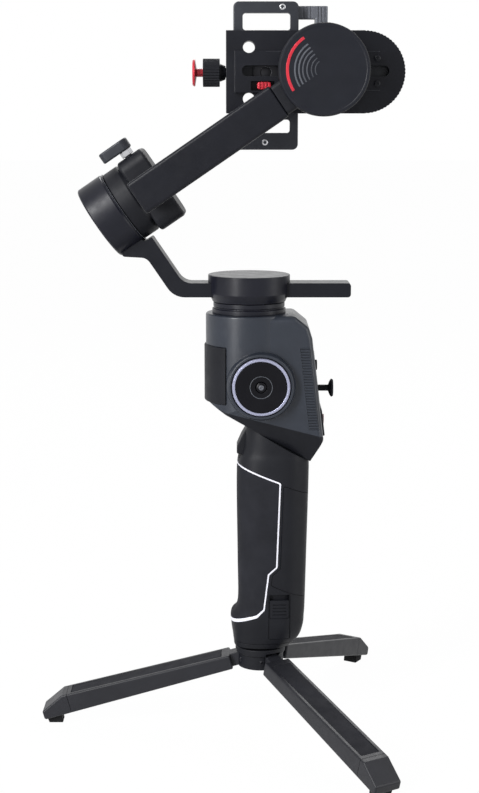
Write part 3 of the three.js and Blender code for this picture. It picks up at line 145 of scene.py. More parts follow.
def bevelled(solid, width, segments=3, angle=35):
    bevel = solid.modifiers.new("bevel", "BEVEL")
    bevel.width = width
    bevel.segments = segments
    bevel.limit_method = "ANGLE"
    bevel.angle_limit = radians(angle)
    bevel.use_clamp_overlap = True
    return apply_modifiers(solid)


def combine(solid, others, operation):
    """Joins, cuts or keeps what is shared with the others, which are used up."""
    for other in others if isinstance(others, list) else [others]:
        step = solid.modifiers.new("step", "BOOLEAN")
        step.operation = operation
        step.solver = "MANIFOLD"
        step.object = other
        apply_modifiers(solid)
        bpy.data.objects.remove(other)
    return solid


def cut(solid, *others):
    return combine(solid, list(others), "DIFFERENCE")


def join(solid, *others):
    return combine(solid, list(others), "UNION")


def keep(solid, *others):
    return combine(solid, list(others), "INTERSECT")


def copy(solid):
    twin = bpy.data.objects.new("solid", solid.data.copy())
    bpy.context.scene.collection.objects.link(twin)
    return twin


def moved(solid, x, turn):
    solid.data.transform(Matrix.Translation((x, 0, 0)) @ Matrix.Rotation(radians(turn), 4, "Z"))
    return solid


def split(solid):
    """The near and far halves of a shell, with a hairline between them."""
    near = keep(copy(solid), block(-60, 80, -80, -0.12, 0, 300))
    return {"near": near, "far": keep(solid, block(-60, 80, 0.12, 80, 0, 300))}


def on_axis(axis, a, b, depth):
    """A point of a section (a, b) at a depth along the axis across it."""
    return {"x": (depth, a, b), "y": (a, depth, b), "z": (a, b, depth)}[axis]


def plate(axis, points, low, high, bevel=0, segments=3):
    """An outline thickened along an axis, with its sharp edges rounded off."""
    count = len(points)
    vertices = [on_axis(axis, a, b, low) for a, b in points]
    vertices += [on_axis(axis, a, b, high) for a, b in points]
    faces = [list(range(count)), list(range(count, 2 * count))]
    faces += [[i, (i + 1) % count, count + (i + 1) % count, count + i] for i in range(count)]
    solid = new_solid(vertices, faces)
    return bevelled(solid, bevel, segments) if bevel else solid


def block(x0, x1, y0, y1, z0, z1, bevel=0, segments=3):
    return plate("z", box_outline(x0, y0, x1, y1), z0, z1, bevel, segments)


def turned(axis, centre, profile, soft=0.4, sides=96, closed=False):
    """A profile of (radius, height) points turned about an axis, with soft corners."""
    points = rounded(profile, soft, 3, closed) if soft else list(profile)
    rings = []
    vertices = []
    for radius, height in points:
        ring = []
        for k in range(sides if radius > 1e-6 else 1):
            angle = 2 * pi * k / sides
            a = centre[0] + radius * cos(angle)
            b = centre[1] + radius * sin(angle)
            ring.append(len(vertices))
            vertices.append(on_axis(axis, a, b, height))
        rings.append(ring)
    faces = []
    pairs = list(zip(rings, rings[1:]))
    if closed:
        pairs.append((rings[-1], rings[0]))
    for low, high in pairs:
        for k in range(sides):
            quad = [low[k % len(low)], low[(k + 1) % len(low)], high[(k + 1) % len(high)],
                    high[k % len(high)]]
            loop = list(dict.fromkeys(quad))
            if len(loop) > 2:
                faces.append(loop)
    return new_solid(vertices, faces)


def rod(axis, centre, radius, low, high, soft=0.3, sides=64):
    return turned(axis, centre, [(0, low), (radius, low), (radius, high), (0, high)], soft, sides)


def ring_section(x, y):
    """How far a rounded section reaches in a direction: round in front, faceted corners behind."""
    size = (x * x + y * y) ** 0.5
    c, s = x / size, abs(y / size)
    front = (abs(c) ** 2.7 + s ** 2.7) ** (-1 / 2.7)
    if c <= 0:
        return front
    square = (abs(c) ** 7 + s ** 7) ** (-1 / 7)
    facet = 1.5 / (0.95 * c + s)
    rear = (square ** -14 + facet ** -14) ** (-1 / 14)
    share = min(1, c / 0.5)
    share = share * share * (3 - 2 * share)
    return front * (1 - share) + rear * share


def spline(values, position):
    """A smooth curve through evenly counted values."""
    i = min(int(position), len(values) - 2)
    t = position - i
    before, start, end, after = (values[max(0, min(len(values) - 1, i + k))] for k in (-1, 0, 1, 2))
    slope0, slope1 = (end - before) / 2, (after - start) / 2
    return ((2 * t ** 3 - 3 * t ** 2 + 1) * start + (t ** 3 - 2 * t ** 2 + t) * slope0
            + (-2 * t ** 3 + 3 * t ** 2) * end + (t ** 3 - t ** 2) * slope1)


def loft(sections, offset=0, sides=112, steps=6):
    """A smooth column through rounded sections (height, front, rear, half depth)."""
    rings = (len(sections) - 1) * steps
    columns = list(zip(*sections))
    vertices = []
    for k in range(rings + 1):
        z, front, rear, depth = (spline(column, k / steps) for column in columns)
        for i in range(sides):
            c, s = cos(2 * pi * i / sides), sin(2 * pi * i / sides)
            reach = ring_section(c, s)
            vertices.append(((front + rear) / 2 + ((rear - front) / 2 + offset) * reach * c,
                             (depth + offset) * reach * s, z))
    faces = [[k * sides + i, k * sides + (i + 1) % sides, (k + 1) * sides + (i + 1) % sides,
              (k + 1) * sides + i]
             for k in range(rings) for i in range(sides)]
    faces += [list(range(sides)), list(range(rings * sides, (rings + 1) * sides))]
    return new_solid(vertices, faces)


def shaving(a, b, c):
    """A slab on one side of the plane through three points, to cut away what lies there."""
    a, b, c = Vector(a), Vector(b), Vector(c)
    normal = (b - a).cross(c - a).normalized()
    slab = block(-80, 80, -80, 80, 0, 80)
    turn = normal.to_track_quat("Z", "Y").to_matrix().to_4x4()
    slab.data.transform(Matrix.Translation((a + b + c) / 3) @ turn)
    return slab


# ---- materials
def material(name, colour, rough, metal=0.0, grain=900, depth=0.02, mottle=0.12, edge_highlight=0.0,
             specular=0.4, streak=1.0):
    """A procedural finish: mottled colour, uneven gloss, a fine surface grain and softened edges, and where
    asked a painted highlight, a lighter colour along the edges.
    """
    made = bpy.data.materials.new(name)
    made.use_nodes = True
    tree = made.node_tree
    shader = tree.nodes["Principled BSDF"]
    shader.inputs["Metallic"].default_value = metal
    shader.inputs["Specular IOR Level"].default_value = specular

    def node(kind, **settings):
        found = tree.nodes.new(kind)
        for key, value in settings.items():
            setattr(found, key, value)
        return found

    place = node("ShaderNodeTexCoord").outputs["Object"]
    if streak != 1.0:
        mapping = node("ShaderNodeMapping")
        mapping.inputs["Scale"].default_value = (streak, 1, 1)
        tree.links.new(place, mapping.inputs["Vector"])
        place = mapping.outputs["Vector"]

    def noise(scale, detail):
        found = node("ShaderNodeTexNoise")
        found.inputs["Scale"].default_value = scale
        found.inputs["Detail"].default_value = detail
        tree.links.new(place, found.inputs["Vector"])
        return found.outputs["Fac"]

    def ranged(value, low, high, start=0.3, end=0.7):
        found = node("ShaderNodeMapRange")
        found.inputs["From Min"].default_value = start
        found.inputs["From Max"].default_value = end
        found.inputs["To Min"].default_value = low
        found.inputs["To Max"].default_value = high
        tree.links.new(value, found.inputs["Value"])
        return found.outputs["Result"]

    def mixed(factor, one, two):
        found = node("ShaderNodeMix", data_type="RGBA")
        tree.links.new(factor, found.inputs[0])
        for socket, value in ((found.inputs[6], one), (found.inputs[7], two)):
            if isinstance(value, tuple):
                socket.default_value = value
            else:
                tree.links.new(value, socket)
        return found.outputs[2]

    dark = tuple(v * (1 - mottle) for v in colour) + (1,)
    light = tuple(min(1, v * (1 + mottle)) for v in colour) + (1,)
    surface = mixed(ranged(noise(60, 4), 0, 1), dark, light)
    corner = node("ShaderNodeBevel", samples=4)
    corner.inputs["Radius"].default_value = 0.35 * MM
    # Painted highlight: the colour is made lighter where the rounded edge normal turns from the face,
    # standing in for light caught on the edges.
    if edge_highlight:
        facing = node("ShaderNodeVectorMath", operation="DOT_PRODUCT")
        tree.links.new(corner.outputs["Normal"], facing.inputs[0])
        tree.links.new(node("ShaderNodeNewGeometry").outputs["Normal"], facing.inputs[1])
        highlight_colour = tuple(min(1, v * 2.2 + 0.05) for v in colour) + (1,)
        surface = mixed(ranged(facing.outputs["Value"], edge_highlight, 0, 0.8, 0.99), surface, highlight_colour)
    tree.links.new(surface, shader.inputs["Base Color"])
    tree.links.new(ranged(noise(180, 3), max(0.02, rough - 0.05), rough + 0.07), shader.inputs["Roughness"])
    bump = node("ShaderNodeBump")
    bump.inputs["Strength"].default_value = 0.5
    bump.inputs["Distance"].default_value = depth * MM
    tree.links.new(noise(grain, 2), bump.inputs["Height"])
    tree.links.new(corner.outputs["Normal"], bump.inputs["Normal"])
    tree.links.new(bump.outputs["Normal"], shader.inputs["Normal"])
    return made


LOOKS = {
    "plastic": material("moulded_plastic", (0.0055, 0.0060, 0.0085), 0.5, grain=1600, depth=0.03,
                        specular=0.17),
    "side": material("satin_side", (0.0145, 0.018, 0.026), 0.34, grain=1800, specular=0.35),
    "leg": material("leg_plastic", (0.013, 0.0135, 0.017), 0.4, grain=1400, depth=0.03, specular=0.25),
    "glossy": material("satin_motor", (0.0055, 0.006, 0.0105), 0.36, grain=500, depth=0.008, specular=0.22),
    "disc": material("disc_black", (0.006, 0.0068, 0.0105), 0.4, depth=0.01, specular=0.18),
    "rubber": material("grip_rubber", (0.0115, 0.012, 0.0155), 0.75, grain=2600, depth=0.09, mottle=0.2,
                       specular=0.12),
    "sole": material("sole_rubber", (0.010, 0.010, 0.011), 0.8, grain=1500, depth=0.12, mottle=0.25,
                     specular=0.15),
    # The anodised, grey, pale and red finishes carry a painted highlight along their edges.
    "anodised": material("black_anodised", (0.0055, 0.006, 0.009), 0.36, grain=2200, depth=0.015, edge_highlight=0.25,
                         specular=0.16),
    "grey": material("grey_anodised", (0.022, 0.024, 0.030), 0.38, 0.2, grain=2200, depth=0.015, edge_highlight=0.25,
                     specular=0.25),
    "stop": material("pale_anodised", (0.085, 0.09, 0.105), 0.4, 0.3, grain=2200, depth=0.015, edge_highlight=0.2),
    "white": material("trim_white", (0.62, 0.62, 0.68), 0.35, depth=0.01, mottle=0.04),
    "silver": material("wheel_silver", (0.27, 0.28, 0.38), 0.28, 0.4, grain=1500, depth=0.01, mottle=0.05),
    "steel": material("turned_steel", (0.5, 0.5, 0.52), 0.25, 1.0, mottle=0.08, streak=0.2),
    "dark_steel": material("blackened_steel", (0.02, 0.02, 0.024), 0.35, 0.6, streak=0.2),
    "red": material("red_anodised", (0.42, 0.018, 0.032), 0.3, 0.3, grain=1500, edge_highlight=0.2),
    "dark_red": material("button_red", (0.10, 0.010, 0.014), 0.4, grain=1500),
    "board": material("solder_mask", (0.03, 0.13, 0.06), 0.4, grain=700, depth=0.03),
    "copper": material("enamelled_winding", (0.35, 0.14, 0.06), 0.35, 0.7, grain=1200, depth=0.2, streak=0.1),
    "cell": material("shrink_sleeve", (0.05, 0.12, 0.24), 0.4, grain=400, depth=0.03),
    "black": material("wheel_black", (0.0025, 0.0025, 0.004), 0.34, grain=1800, specular=0.12),
    "arc": material("ring_grey", (0.055, 0.06, 0.072), 0.4, grain=1200, depth=0.01),
    "arc_faint": material("ring_faint", (0.038, 0.042, 0.052), 0.4, grain=1200, depth=0.01),
    "arc_dim": material("ring_dim", (0.022, 0.025, 0.033), 0.4, grain=1200, depth=0.01),
}


def piece(solid, name, look, body, replaced=(), space=None, smooth=32):
    """Puts a finished solid in the row frame, on its body, in place of its CAD nodes."""
    solid.data.transform(space or PAN)
    solid.name = name
    solid.data.name = name
    for face in solid.data.polygons:
        face.use_smooth = True
    solid.data.set_sharp_from_angle(angle=radians(smooth))
    solid.data.materials.clear()
    solid.data.materials.append(LOOKS[look])
    weighted = solid.modifiers.new("normals", "WEIGHTED_NORMAL")
    weighted.keep_sharp = True
    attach(solid, body)
    if replaced:
        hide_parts(*([replaced] if isinstance(replaced, str) else replaced))
    return solid


def skin_of(node, solid, look, body, space=None, smooth=32):
    return piece(solid, node + "_skin", look, body, node, space, smooth)


def screw_head(axis, centre, radius, seat, top, name, body, space=None, look="steel"):
    """A button-head screw with a hexagonal socket, its head between seat and top."""
    rise = top - seat
    dome = turned(axis, centre, [(0, seat), (radius, seat), (radius * 0.98, seat + rise * 0.4),
                                 (radius * 0.7, seat + rise * 0.9), (0, top)], abs(rise) * 0.2, 40)
    socket = turned(axis, centre, [(0, top + rise), (radius * 0.45, top + rise),
                                   (radius * 0.45, top - rise * 0.6), (0, top - rise * 0.6)], 0, 6)
    return piece(cut(dome, socket), name, look, body, (), space)


# ---- tripod
TRIPOD_X = 7
HUB_RADIUS = 14.9
HUB_BODY_RADIUS = 13.8
HUB_BOTTOM = 36
HUB_BODY_TOP = 45
HUB_TOP = 48.6
PIVOT_RADIUS = 11
PIVOT_Z = 41
LEG_WIDTH = 17
LEG_SLOPE = atan2(33.3, 120)
LEG_LENGTH = 120 / cos(LEG_SLOPE)
LEG_START = 6.6
TOE_DROP = 5
TOE_TOP = 7
CAP_LENGTH = 17
LEG_ANGLES = {"left": 180, "front": -59, "back": 59}


def tripod_hub():
    hub = turned("z", (TRIPOD_X, 0), [
        (0, HUB_BOTTOM), (HUB_BODY_RADIUS, HUB_BOTTOM), (HUB_BODY_RADIUS, HUB_BODY_TOP - 1),
        (HUB_RADIUS, HUB_BODY_TOP), (HUB_RADIUS, HUB_TOP), (0, HUB_TOP)], 0.5)
    cuts = [rod("z", (TRIPOD_X, 0), 5.1, HUB_BOTTOM - 2, HUB_BOTTOM + 3, 0),
            rod("z", (TRIPOD_X, 0), 3.4, HUB_BOTTOM - 2, HUB_TOP + 2, 0)]
    for angle in LEG_ANGLES.values():
        slot = block(6.4, 30, -4.8, 4.8, HUB_BOTTOM - 2, HUB_TOP - 2.4, 0)
        cuts.append(moved(slot, TRIPOD_X, turn=angle))
    skin_of("tripod_hub", cut(hub, *cuts), "plastic", "handle")
    pad = turned("z", (TRIPOD_X, 0), [(5, HUB_TOP + 0.15), (12.5, HUB_TOP + 0.15), (12.5, 49.7), (5, 49.7)],
                 0.25, closed=True)
    skin_of("hub_pad", pad, "sole", "handle")


def leg_outline():
    return rounded([(LEG_START, 4.3), (LEG_LENGTH - 14, TOE_TOP), (LEG_LENGTH, TOE_TOP - 6.5),
                    (LEG_LENGTH, -TOE_DROP), (LEG_START, -4.3)], 1.4, 4, False)


def tripod_leg(side, angle):
    space = (PAN @ Matrix.Translation((TRIPOD_X, 0, 0)) @ Matrix.Rotation(radians(angle), 4, "Z")
             @ Matrix.Translation((PIVOT_RADIUS, 0, PIVOT_Z)) @ Matrix.Rotation(LEG_SLOPE, 4, "Y"))
    body = f"leg_{side}"
    half = LEG_WIDTH / 2
    cap_start = LEG_LENGTH - CAP_LENGTH
    panel_line = [(LEG_START + 5, 10), (cap_start - 2.5, 10), (cap_start - 2.5, 5.4), (LEG_START + 5, 3.4)]
    beam = plate("y", leg_outline(), -half, half, 1.0, 4)
    beam = keep(beam, block(LEG_START, cap_start - 0.12, -20, 20, -20, 20))
    round_end = arc(0, 0, 4, 90, 270, 14)
    tongue = plate("y", round_end + [(LEG_START + 1, -4), (LEG_START + 1, 4)], -4.5, 4.5, 0.5, 2)
    beam = join(beam, tongue)
    beam = cut(beam, rod("y", (0, 0), 1.8, -20, 20, 0), plate("y", panel_line, -half + 2.4, half - 2.4))
    skin_of(body, beam, "leg", body, space)
    panel = plate("y", rounded([(LEG_START + 5.2, 4.6), (cap_start - 2.7, 6.55), (cap_start - 2.7, 5.6),
                                (LEG_START + 5.2, 3.6)], 0.2), -half + 2.6, half - 2.6, 0.25, 2)
    piece(panel, f"leg_panel_{side}", "rubber", body, (), space)
    cap = plate("y", leg_outline(), -half, half, 1.0, 4)
    cap = keep(cap, block(cap_start + 0.12, 200, -20, 20, -20, 20))
    piece(cap, f"leg_cap_{side}", "leg", body, (), space)
    foot = plate("y", rounded([(LEG_LENGTH - 10, -TOE_DROP + 0.2), (LEG_LENGTH - 9, -14),
                               (LEG_LENGTH - 2, -14),
                               (LEG_LENGTH - 1, -TOE_DROP + 0.2)], 0.6), -4.5, 4.5, 0.5, 3)
    foot = cut(foot, shaving_level(space, 0.0))
    skin_of(f"foot_{side}", foot, "sole", body, space)
    half_pin = 7.7
    pin = rod("y", (0, 0), 1.5, -half_pin, half_pin, 0.25, 40)
    for end in (-1, 1):
        socket = turned("y", (0, 0), [(0, end * half_pin * 1.1), (0.8, end * half_pin * 1.1),
                                      (0.8, end * (half_pin - 0.8)), (0, end * (half_pin - 0.8))], 0, 6)
        pin = cut(pin, socket)
    skin_of(f"leg_pin_{side}", pin, "dark_steel", "handle", space)


def shaving_level(space, height):
    """A slab below a level plane of the row frame, in the coordinates of a leg."""
    slab = block(-400, 400, -400, 400, -80, height)
    slab.data.transform(space.inverted() @ PAN)
    return slab


# ---- handle
BASE_Z = 50
GRIP_TOP = 160
CHIN_Z = 185
GRIP_FRONT = -7
GRIP_REAR = 35.2
GRIP_DEPTH = 19.5
HANDLE = [
    (BASE_Z, GRIP_FRONT - 1.8, GRIP_REAR - 10.7, GRIP_DEPTH - 4.5),
    (BASE_Z + 6, GRIP_FRONT - 2.4, GRIP_REAR - 5.2, GRIP_DEPTH - 2.3),
    (BASE_Z + 13, GRIP_FRONT - 3.4, GRIP_REAR - 2.8, GRIP_DEPTH - 0.9),
    (BASE_Z + 19, GRIP_FRONT - 3.4, GRIP_REAR - 2.3, GRIP_DEPTH - 0.5),
    (BASE_Z + 26, GRIP_FRONT + 0.5, GRIP_REAR - 1.9, GRIP_DEPTH - 0.3),
    (GRIP_TOP - 55, GRIP_FRONT + 0.4, GRIP_REAR - 1.2, GRIP_DEPTH),
    (GRIP_TOP - 2, GRIP_FRONT, GRIP_REAR, GRIP_DEPTH - 0.4),
    (GRIP_TOP + 10, GRIP_FRONT + 3, GRIP_REAR - 0.6, GRIP_DEPTH - 1.5),
    (GRIP_TOP + 32, GRIP_FRONT + 5.5, GRIP_REAR - 0.6, GRIP_DEPTH - 2),
]
SEAM_X = 17.6
SEAM_Z = GRIP_TOP - 9
PAD_LOW = BASE_Z + 17
PAD_EDGE = [(GRIP_FRONT - 20, SEAM_Z + 14), (GRIP_FRONT, SEAM_Z + 9.5), (SEAM_X, SEAM_Z), (15.8, 101.5),
            (11, 97),
            (8.4, PAD_LOW + 8.5), (4.4, PAD_LOW + 4.8), (GRIP_FRONT - 4, PAD_LOW), (GRIP_FRONT - 20, PAD_LOW)]
TRIM_WIDTH = 0.95
SLEEVE_THICK = 1.6
DOOR_SLOPE = tan(radians(24))
LATCH = (12.4, 23.5, 70, 81)


def door_line(x, start):
    """A point on the door's sloping edge, at x."""
    return (x, start - (x - SEAM_X - 2.5) * DOOR_SLOPE)


DOOR_EDGE = [door_line(13.2, 87), (13.8, 96), (18.4, 100.3), (20.1, SEAM_Z - 1), door_line(55.2, SEAM_Z - 1),
             door_line(55.2, 87)]


def chin_height(x):
    """The height of the sloping joint between handle and head, at x."""
    return CHIN_Z - (x + 2) * (CHIN_Z - GRIP_TOP) / (GRIP_REAR - GRIP_FRONT)


def through(points, grow=0.0, soft=1.2):
    """A region of the side view, right through the handle."""
    return plate("y", rounded(grown(points, grow) if grow else points, soft, 5), -45, 45)


def trim_region(grow):
    """The pad's outline with its white border, wider along the bottom."""
    points = grown(PAD_EDGE, TRIM_WIDTH + grow)
    drops = [0] * (len(points) - 3) + [0.7, 1.1, 1.1]
    return through([(x, z - drop) for (x, z), drop in zip(points, drops)])


def layer(outer, inner, region):
    """The part of the handle's wall between two offsets that lies in a region."""
    return keep(cut(loft(HANDLE, outer), loft(HANDLE, inner)), region)


TRIGGER = (1.5, CHIN_Z - 5.5)


def trigger_room():
    """The space that the trigger moves in."""
    x, z = TRIGGER
    outline = [(x - 22, z + 11.5), (x + 5, z + 11.5), (x + 5, z - 3), (x + 1.5, z - 5.2), (x + 0.5, z - 9.5),
               (x - 0.5, z - 15.4), (x - 22, z - 15.4)]
    return plate("y", rounded(outline, 1, 4), -8.5, 8.5)


def handle_shells():
    shell = cut(loft(HANDLE), loft(HANDLE, -WALL - SLEEVE_THICK), block(-60, 80, -60, 60, 0, BASE_Z + 3.3),
                plate("y", [(-60, chin_height(-60)), (80, chin_height(80)), (80, 300), (-60, 300)], -60, 60),
                trigger_room(), through(DOOR_EDGE, 0.15))
    shell = cut(shell, layer(1, -SLEEVE_THICK - 0.2, trim_region(0.12)))
    x0, x1, z0, z1 = LATCH
    room = plate("y", box_outline(x0 - 0.2, z0 - 0.2, x1 + 0.2, z1 + 3.2, 0.6), -40, 0)
    shell = cut(shell, cut(room, loft(HANDLE, -2.5)))
    panel = box_outline(x0 - 0.8, 56.5, x1 + 0.8, 84.5, 0.8)
    line = cut(plate("y", panel, -40, -4), plate("y", grown(panel, -0.35), -50, 0))
    shell = cut(shell, cut(line, loft(HANDLE, -0.5)))
    for side, half in split(shell).items():
        skin_of(f"handle_shell_{side}", half, "plastic", "handle")


def grip_pieces():
    sleeve = layer(0.05, -SLEEVE_THICK, through(PAD_EDGE, -0.05))
    skin_of("grip_sleeve", sleeve, "rubber", "handle")
    band = cut(trim_region(0), through(PAD_EDGE, 0.05))
    trim = cut(loft(HANDLE, 0.12), loft(HANDLE, -SLEEVE_THICK))
    skin_of("grip_trim", keep(trim, band), "white", "handle")


def battery_pieces():
    door = layer(0, -WALL, through(DOOR_EDGE, -0.1))
    skin_of("battery_door", door, "plastic", "battery_door")
    x0, x1, z0, z1 = LATCH
    tab = layer(-0.1, -1.5, plate("y", box_outline(x0, z0, x1, z1, 0.6), -45, -2))
    grooves = [plate("y", box_outline(x0 + 1.5, z, x1 - 1.5, z + 0.6, 0.2), -45, -2)
               for z in (72, 74, 76, 78)]
    tab = cut(tab, *[cut(groove, loft(HANDLE, -0.6)) for groove in grooves])
    skin_of("battery_latch", tab, "plastic", "battery_latch")


def base_pieces():
    base = keep(loft(HANDLE, -0.1), block(-60, 80, -60, 60, BASE_Z, BASE_Z + 3))
    base = join(base, rod("z", (TRIPOD_X, 0), 8.6, BASE_Z + 2.5, BASE_Z + 10))
    skin_of("base_plate", cut(base, rod("z", (TRIPOD_X, 0), 6.1, 40, 80, 0)), "plastic", "handle")


# ---- head
HEAD_TOP = CHIN_Z + 64
HEAD_RADIUS = 25
HEAD_HALF = 22
HEAD_REAR = 42
HEAD_REAR_TOP = 36
CHIN_FRONT = (-60, CHIN_Z + 20.4)
CHIN_BACK = (80, CHIN_Z - 15.5)
SHOULDER = HEAD_TOP - 13
WHEEL = (6.8, CHIN_Z + 24.4)
WHEEL_RADIUS = 16.5
WHEEL_RING = 1.8


def rear_x(z):
    """Where the head's sloping back stands, at a height."""
    return HEAD_REAR - (z - CHIN_Z) * (HEAD_REAR - HEAD_REAR_TOP) / (SHOULDER - CHIN_Z)


def head_outline(inset=0):
    """The side view of the head behind its round front."""
    top = HEAD_TOP - 0.2 - inset
    return rounded([(-5, top), (26 - inset, top), (34 - inset, top - 6.5), (HEAD_REAR_TOP - inset, SHOULDER),
                    (HEAD_REAR - inset, CHIN_Z - 1), (HEAD_REAR + 0.9 - inset, CHIN_Z - 8),
                    (34.8 - inset, GRIP_TOP + 1.5), (30.8 - inset, GRIP_TOP - 6), (-5, GRIP_TOP - 6)], 4.5, 6)


def head_shells():
    outer = turned("z", (0, 0), [(0, 150), (HEAD_RADIUS, 150), (HEAD_RADIUS, HEAD_TOP), (0, HEAD_TOP)], 1.2,
                   128)
    side = plate("y", head_outline(), -HEAD_HALF, HEAD_HALF, 3.6, 6)
    chin = plate("y", [(-60, 215), (-27, 200.5), (-2, CHIN_Z + 0.3), (80, chin_height(80) + 0.3), (80, 100),
                       (-60, 100)], -60, 60)
    outer = cut(join(outer, side), chin)
    for way in (-1, 1):
        corners = [(-4, way * 22, CHIN_Z + 6), (43, way * 22, CHIN_Z - 6), (31, way * 12, CHIN_Z - 20)]
        facet = shaving(*(corners if way > 0 else [corners[0], corners[2], corners[1]]))
        outer = cut(outer, facet)
    boss = turned("y", WHEEL, [(0, -10), (20.4, -10), (19.6, -25), (18.6, -27.8), (0, -27.8)], 0.8, 112)
    outer = join(outer, boss)
    inner = rod("z", (0, 0), HEAD_RADIUS - WALL, 150, HEAD_TOP - WALL, 0, 96)
    inner = join(inner, plate("y", head_outline(WALL), -HEAD_HALF + WALL, HEAD_HALF - WALL))
    floor_cut = plate("y", [(-60, 225), (-27, 212), (-2, 200), (4, chin_height(4) + 13),
                            (80, chin_height(80) + 20),
                            (80, 100), (-60, 100)], -60, 60)
    neck = keep(loft(HANDLE, -WALL - SLEEVE_THICK), block(-60, 80, -60, 60, 150, CHIN_Z + 6))
    shell = cut(outer, cut(inner, floor_cut), neck)
    shell = cut(shell, rod("y", WHEEL, WHEEL_RADIUS + 0.7, -60, -HEAD_RADIUS + 2.6, 0, 112),
                rod("y", WHEEL, 3.3, -60, 0, 0), rod("z", (0, 0), 6, 200, 300, 0), trigger_room())
    cover_ring = cut(block(-60, COVER_EDGE + 0.15, -60, 60, COVER_LOW - 0.15, COVER_HIGH + 0.15),
                     rod("z", (0, 0), HEAD_RADIUS - 1, 190, 240, 0, 128))
    vents = plate("y", vent_outline(0.05), -60, -HEAD_HALF + 1.4)
    shell = cut(shell, cover_ring, vents, panel_solid(0.12))
    # Painted shade: the downward facet below the chin line is part of the same head shell, but it gets the
    # darker moulded plastic to stand in for the shade it lies in.
    below = plate("y", [CHIN_FRONT, CHIN_BACK, (80, 100), (-60, 100)], -60, 60)
    chin = keep(copy(shell), copy(below))
    for side, half in split(chin).items():
        piece(half, f"chin_{side}", "plastic", "handle", smooth=28)
    for side, half in split(cut(shell, below)).items():
        skin_of(f"head_shell_{side}", half, "side", "handle", smooth=28)


VENT_LOW = CHIN_Z - 1.5
VENT_HIGH = HEAD_TOP - 18
VENT_WIDTH = 5.4
VENT_EDGE = 2.2


def vent_outline(grow=0.0):
    low, high = rear_x(VENT_LOW) - VENT_EDGE, rear_x(VENT_HIGH) - VENT_EDGE
    return [(low - VENT_WIDTH - grow, VENT_LOW - grow), (low + grow, VENT_LOW - grow),
            (high + grow, VENT_HIGH + grow),
            (high - VENT_WIDTH - grow, VENT_HIGH + grow)]


def vent_grille():
    grille = plate("y", vent_outline(), -HEAD_HALF + 0.7, -HEAD_HALF + 1.2)
    slits = 30
    pitch = (VENT_HIGH - VENT_LOW) / slits
    ribs = plate("y", vent_outline(), -HEAD_HALF - 0.02, -HEAD_HALF + 1.1)
    for k in range(slits):
        z = VENT_LOW + pitch * (k + 0.35)
        x = rear_x(z) - VENT_EDGE
        ribs = cut(ribs, block(x - VENT_WIDTH - 2, x - 0.3, -40, -HEAD_HALF + 0.6, z, z + 0.55))
    skin_of("vent_grille", join(grille, ribs), "side", "handle")


COVER_EDGE = -13.5
COVER_LOW = CHIN_Z + 13
COVER_HIGH = COVER_LOW + 33


def front_cover():
    cover = cut(turned("z", (0, 0), [(0, COVER_LOW), (HEAD_RADIUS + 0.9, COVER_LOW),
                                     (HEAD_RADIUS + 0.9, COVER_HIGH),
                                     (0, COVER_HIGH)], 0.8, 128),
                rod("z", (0, 0), HEAD_RADIUS - 0.9, 180, 250, 0, 128))
    edge = rounded([(-60, -60), (COVER_EDGE, -60), (COVER_EDGE, 60), (-60, 60)], 1)
    skin_of("front_cover", keep(cover, plate("z", edge, 190, 240)), "plastic", "handle")


def panel_solid(grow=0.0):
    z0, z1 = GRIP_TOP + 18 - grow, HEAD_TOP - 21 + grow
    face = [(rear_x(z0) - 2.2 - grow, z0), (rear_x(z0) + 1.2, z0), (rear_x(z0 + 15) + 1.2, z0 + 15),
            (rear_x(z0 + 17) + 0.35, z0 + 17), (rear_x(z1) + 0.35, z1), (rear_x(z1) - 2.2 - grow, z1)]
    return plate("y", rounded(face, 0.5, 3), -11 - grow, 11 + grow, 0 if grow else 0.5, 3)


JOYSTICK_Z = CHIN_Z + 19.5
MODE_Z = CHIN_Z + 33
POWER_Z = CHIN_Z + 1


def control_panel():
    panel = cut(panel_solid(), rod("x", (0, JOYSTICK_Z), 4.0, 20, 60, 0),
                rod("x", (0, MODE_Z), 3.3, 20, 60, 0),
                rod("x", (0, POWER_Z), 3.3, 20, 60, 0))
    skin_of("control_panel", panel, "glossy", "handle")
    root = rear_x(JOYSTICK_Z)
    stick = turned("x", (0, JOYSTICK_Z), [
        (0, root - 5), (4.6, root - 5), (4.6, root - 3.2), (1.8, root - 3), (1.8, root + 6.4),
        (3.9, root + 7.2), (5.4, root + 8.2), (4.8, root + 9.4), (3, root + 9.1), (0, root + 8.8)], 0.5)
    skin_of("joystick", stick, "rubber", "joystick")
    for node, z, rise, look in (("mode_button", MODE_Z, 1.5, "rubber"),
                                ("power_button", POWER_Z, 1.9, "dark_red")):
        base = rear_x(z)
        cap = turned("x", (0, z), [(0, base - 3), (3, base - 3), (3, base + rise), (1.8, base + rise),
                                   (1.5, base + rise - 0.25), (0, base + rise - 0.25)], 0.4)
        skin_of(node, cap, look, node)
    for y in (-6.5, 6.5):
        lamp = rod("x", (y, 224), 0.7, rear_x(224) - 0.5, rear_x(224) + 0.5, 0.2, 24)
        piece(lamp, f"status_lamp_{'left' if y < 0 else 'right'}", "white", "handle")


